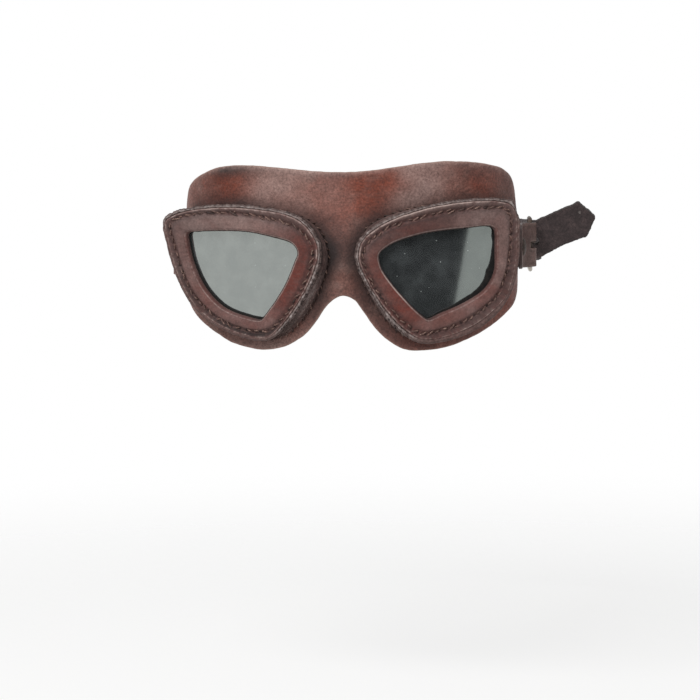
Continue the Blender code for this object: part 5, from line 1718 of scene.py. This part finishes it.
def bend_strap(path, s, z, out):
    """Places on the bent strap: along its path, and past its end over the leaning fold."""
    root = np.array([FOLD_X, FOLD_Y, STRAP_HEIGHT])
    axis = np.array([0.0, -math.sin(FOLD_LEAN), math.cos(FOLD_LEAN)])
    onward = np.array([0.0, -math.cos(FOLD_LEAN), -math.sin(FOLD_LEAN)])
    outward = np.array([1.0, 0.0, 0.0])
    beyond, rise = s - path.length, z - STRAP_HEIGHT
    run = beyond * math.cos(FOLD_LEAN) - rise * math.sin(FOLD_LEAN)
    up_axis = beyond * math.sin(FOLD_LEAN) + rise * math.cos(FOLD_LEAN)
    angle = np.clip(run, 0.0, FOLD_RUN)[:, None] / FOLD_RADIUS
    spot = root + axis * up_axis[:, None]
    spot = spot + FOLD_RADIUS * (np.sin(angle) * onward + (1 - np.cos(angle)) * outward)
    ahead = np.cos(angle) * onward + np.sin(angle) * outward
    normal = np.cos(angle) * outward - np.sin(angle) * onward
    over = np.maximum(run - FOLD_RUN, 0.0)[:, None]
    turned = spot + ahead * over + normal * out[:, None]
    return np.where((run <= 0.0)[:, None], path.stand(s, z, -out), turned)


print("strap without its free end:", round(strap_path().length / MM), "mm")

# %% Build the strap
FREE_LENGTH = 38.7 * MM
HOLE_PITCH, HOLE_RADIUS, HOLE_COUNT = 24 * MM, 1.2 * MM, 4
# In shares of the width: how far the upper corner lies back, how far the tip lies under
# the upper edge, and how far the lower corner lies back
STRAP_TIP_SHARES = (0.21, 0.59, 0.42)
# The free end starts to curl this far past the path's end.
CURL_START, CURL = 8 * MM, 1.2 * MM


def strap_outline(length, total):
    """The frayed outline of the strap laid flat, with its pointed, sagging free end."""
    half = STRAP_WIDTH / 2
    top_cut, tip_drop, low_cut = (share * STRAP_WIDTH for share in STRAP_TIP_SHARES)
    corners = np.array([
        (0.0, STRAP_HEIGHT - half), (0.0, STRAP_HEIGHT + half),
        (total - top_cut, STRAP_HEIGHT + half), (total, STRAP_HEIGHT + half - tip_drop),
        (total - low_cut, STRAP_HEIGHT - half)])
    edge = soften(resample(corners, 0.45 * MM), 3)
    fray = 0.8 * wobble(edge, 1.0 * MM, 51.0) + 0.6 * wobble(edge, 2.7 * MM, 53.0)
    edge = edge + left_hand(soften(edge, 4)) * (fray * 0.42 * MM)[:, None]
    free_run = np.clip((edge[:, 0] - length - CURL_START) / (FREE_LENGTH - 14 * MM), 0.0, 1.0)
    low_side = np.clip((STRAP_HEIGHT - edge[:, 1]) / half, 0.0, 1.0)
    edge[:, 1] += 1.1 * MM * np.sin(math.pi * free_run) * low_side
    return edge


def strap_holes(length):
    """The prong's worn hole, the rivet's hole and the row of spare holes."""
    prong_x = (BAR[0] + FAR_BAR_X) / 2 + WIRE_RADIUS + GAP + PRONG_RADIUS
    prong_at = length + (FOLD_RUN + prong_x - FOLD_X - FOLD_RADIUS) / math.cos(FOLD_LEAN)
    oval = arc((0, 0), 1.0, 0, 2 * math.pi, 31)[:-1] * (1.75 * MM, 2.1 * MM)
    return [oval + (prong_at + 3.5 * MM / 6, STRAP_HEIGHT), round_hole(LAP_LENGTH / 2),
            *(round_hole(prong_at - k * HOLE_PITCH, HOLE_RADIUS, 20)
              for k in range(1, HOLE_COUNT + 1))]


def build_strap():
    """The long strap with its leaning fold, holes and frayed edges."""
    path = strap_path()
    total = path.length + FREE_LENGTH
    flat, faces, _, cut = sheet(strap_outline(path.length, total), strap_holes(path.length),
                                STRAP_THICK, 0.45 * MM, 1.6 * MM, 0.5 * MM)
    s, z, depth = flat.T
    nap = 0.10 * MM * wobble(flat[:, :2], 1.4 * MM, 57.0)
    free = np.clip((s - path.length - CURL_START) / (FREE_LENGTH - CURL_START), 0.0, 1.0)
    points = bend_strap(path, s, z, depth - STRAP_THICK / 2 + nap + CURL * free ** 2)
    # A pale nick near the point.
    nick = soft_spots(s - total, z - STRAP_HEIGHT, [(-5.5, 4.5, 1.1, 1.1, 1.0)])
    print("strap length:", round(total / MM), "mm")
    make_piece("rough_out_strap", points, faces, ROUGH_OUT, "head_strap", ["strap"],
               {"raw": cut * 0.6, "wear": nick})


build_strap()

# %% [markdown]
# ## Buckle and rivets
# The buckle's wire frame, its prong, the domed rivets and their washers are bent and
# turned metal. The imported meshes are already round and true, so they keep their shape. The
# frame was nickel plated and has gone brown, except at its lower end, which the thumb
# rubs bright. The rivets and the prong are browned brass, as dark as the leather.

# %% Finish the metal
BRASS_PARTS = ["buckle_prong_left", "wing_left_rivet", "wing_left_burr", "wing_right_rivet",
               "wing_right_burr", "strap_right_rivet", "strap_right_burr"]
finish_node("buckle_frame_left", NICKEL)
for name in BRASS_PARTS:
    finish_node(name, RIVET_BRASS)
print("browned brass:", ", ".join(BRASS_PARTS))
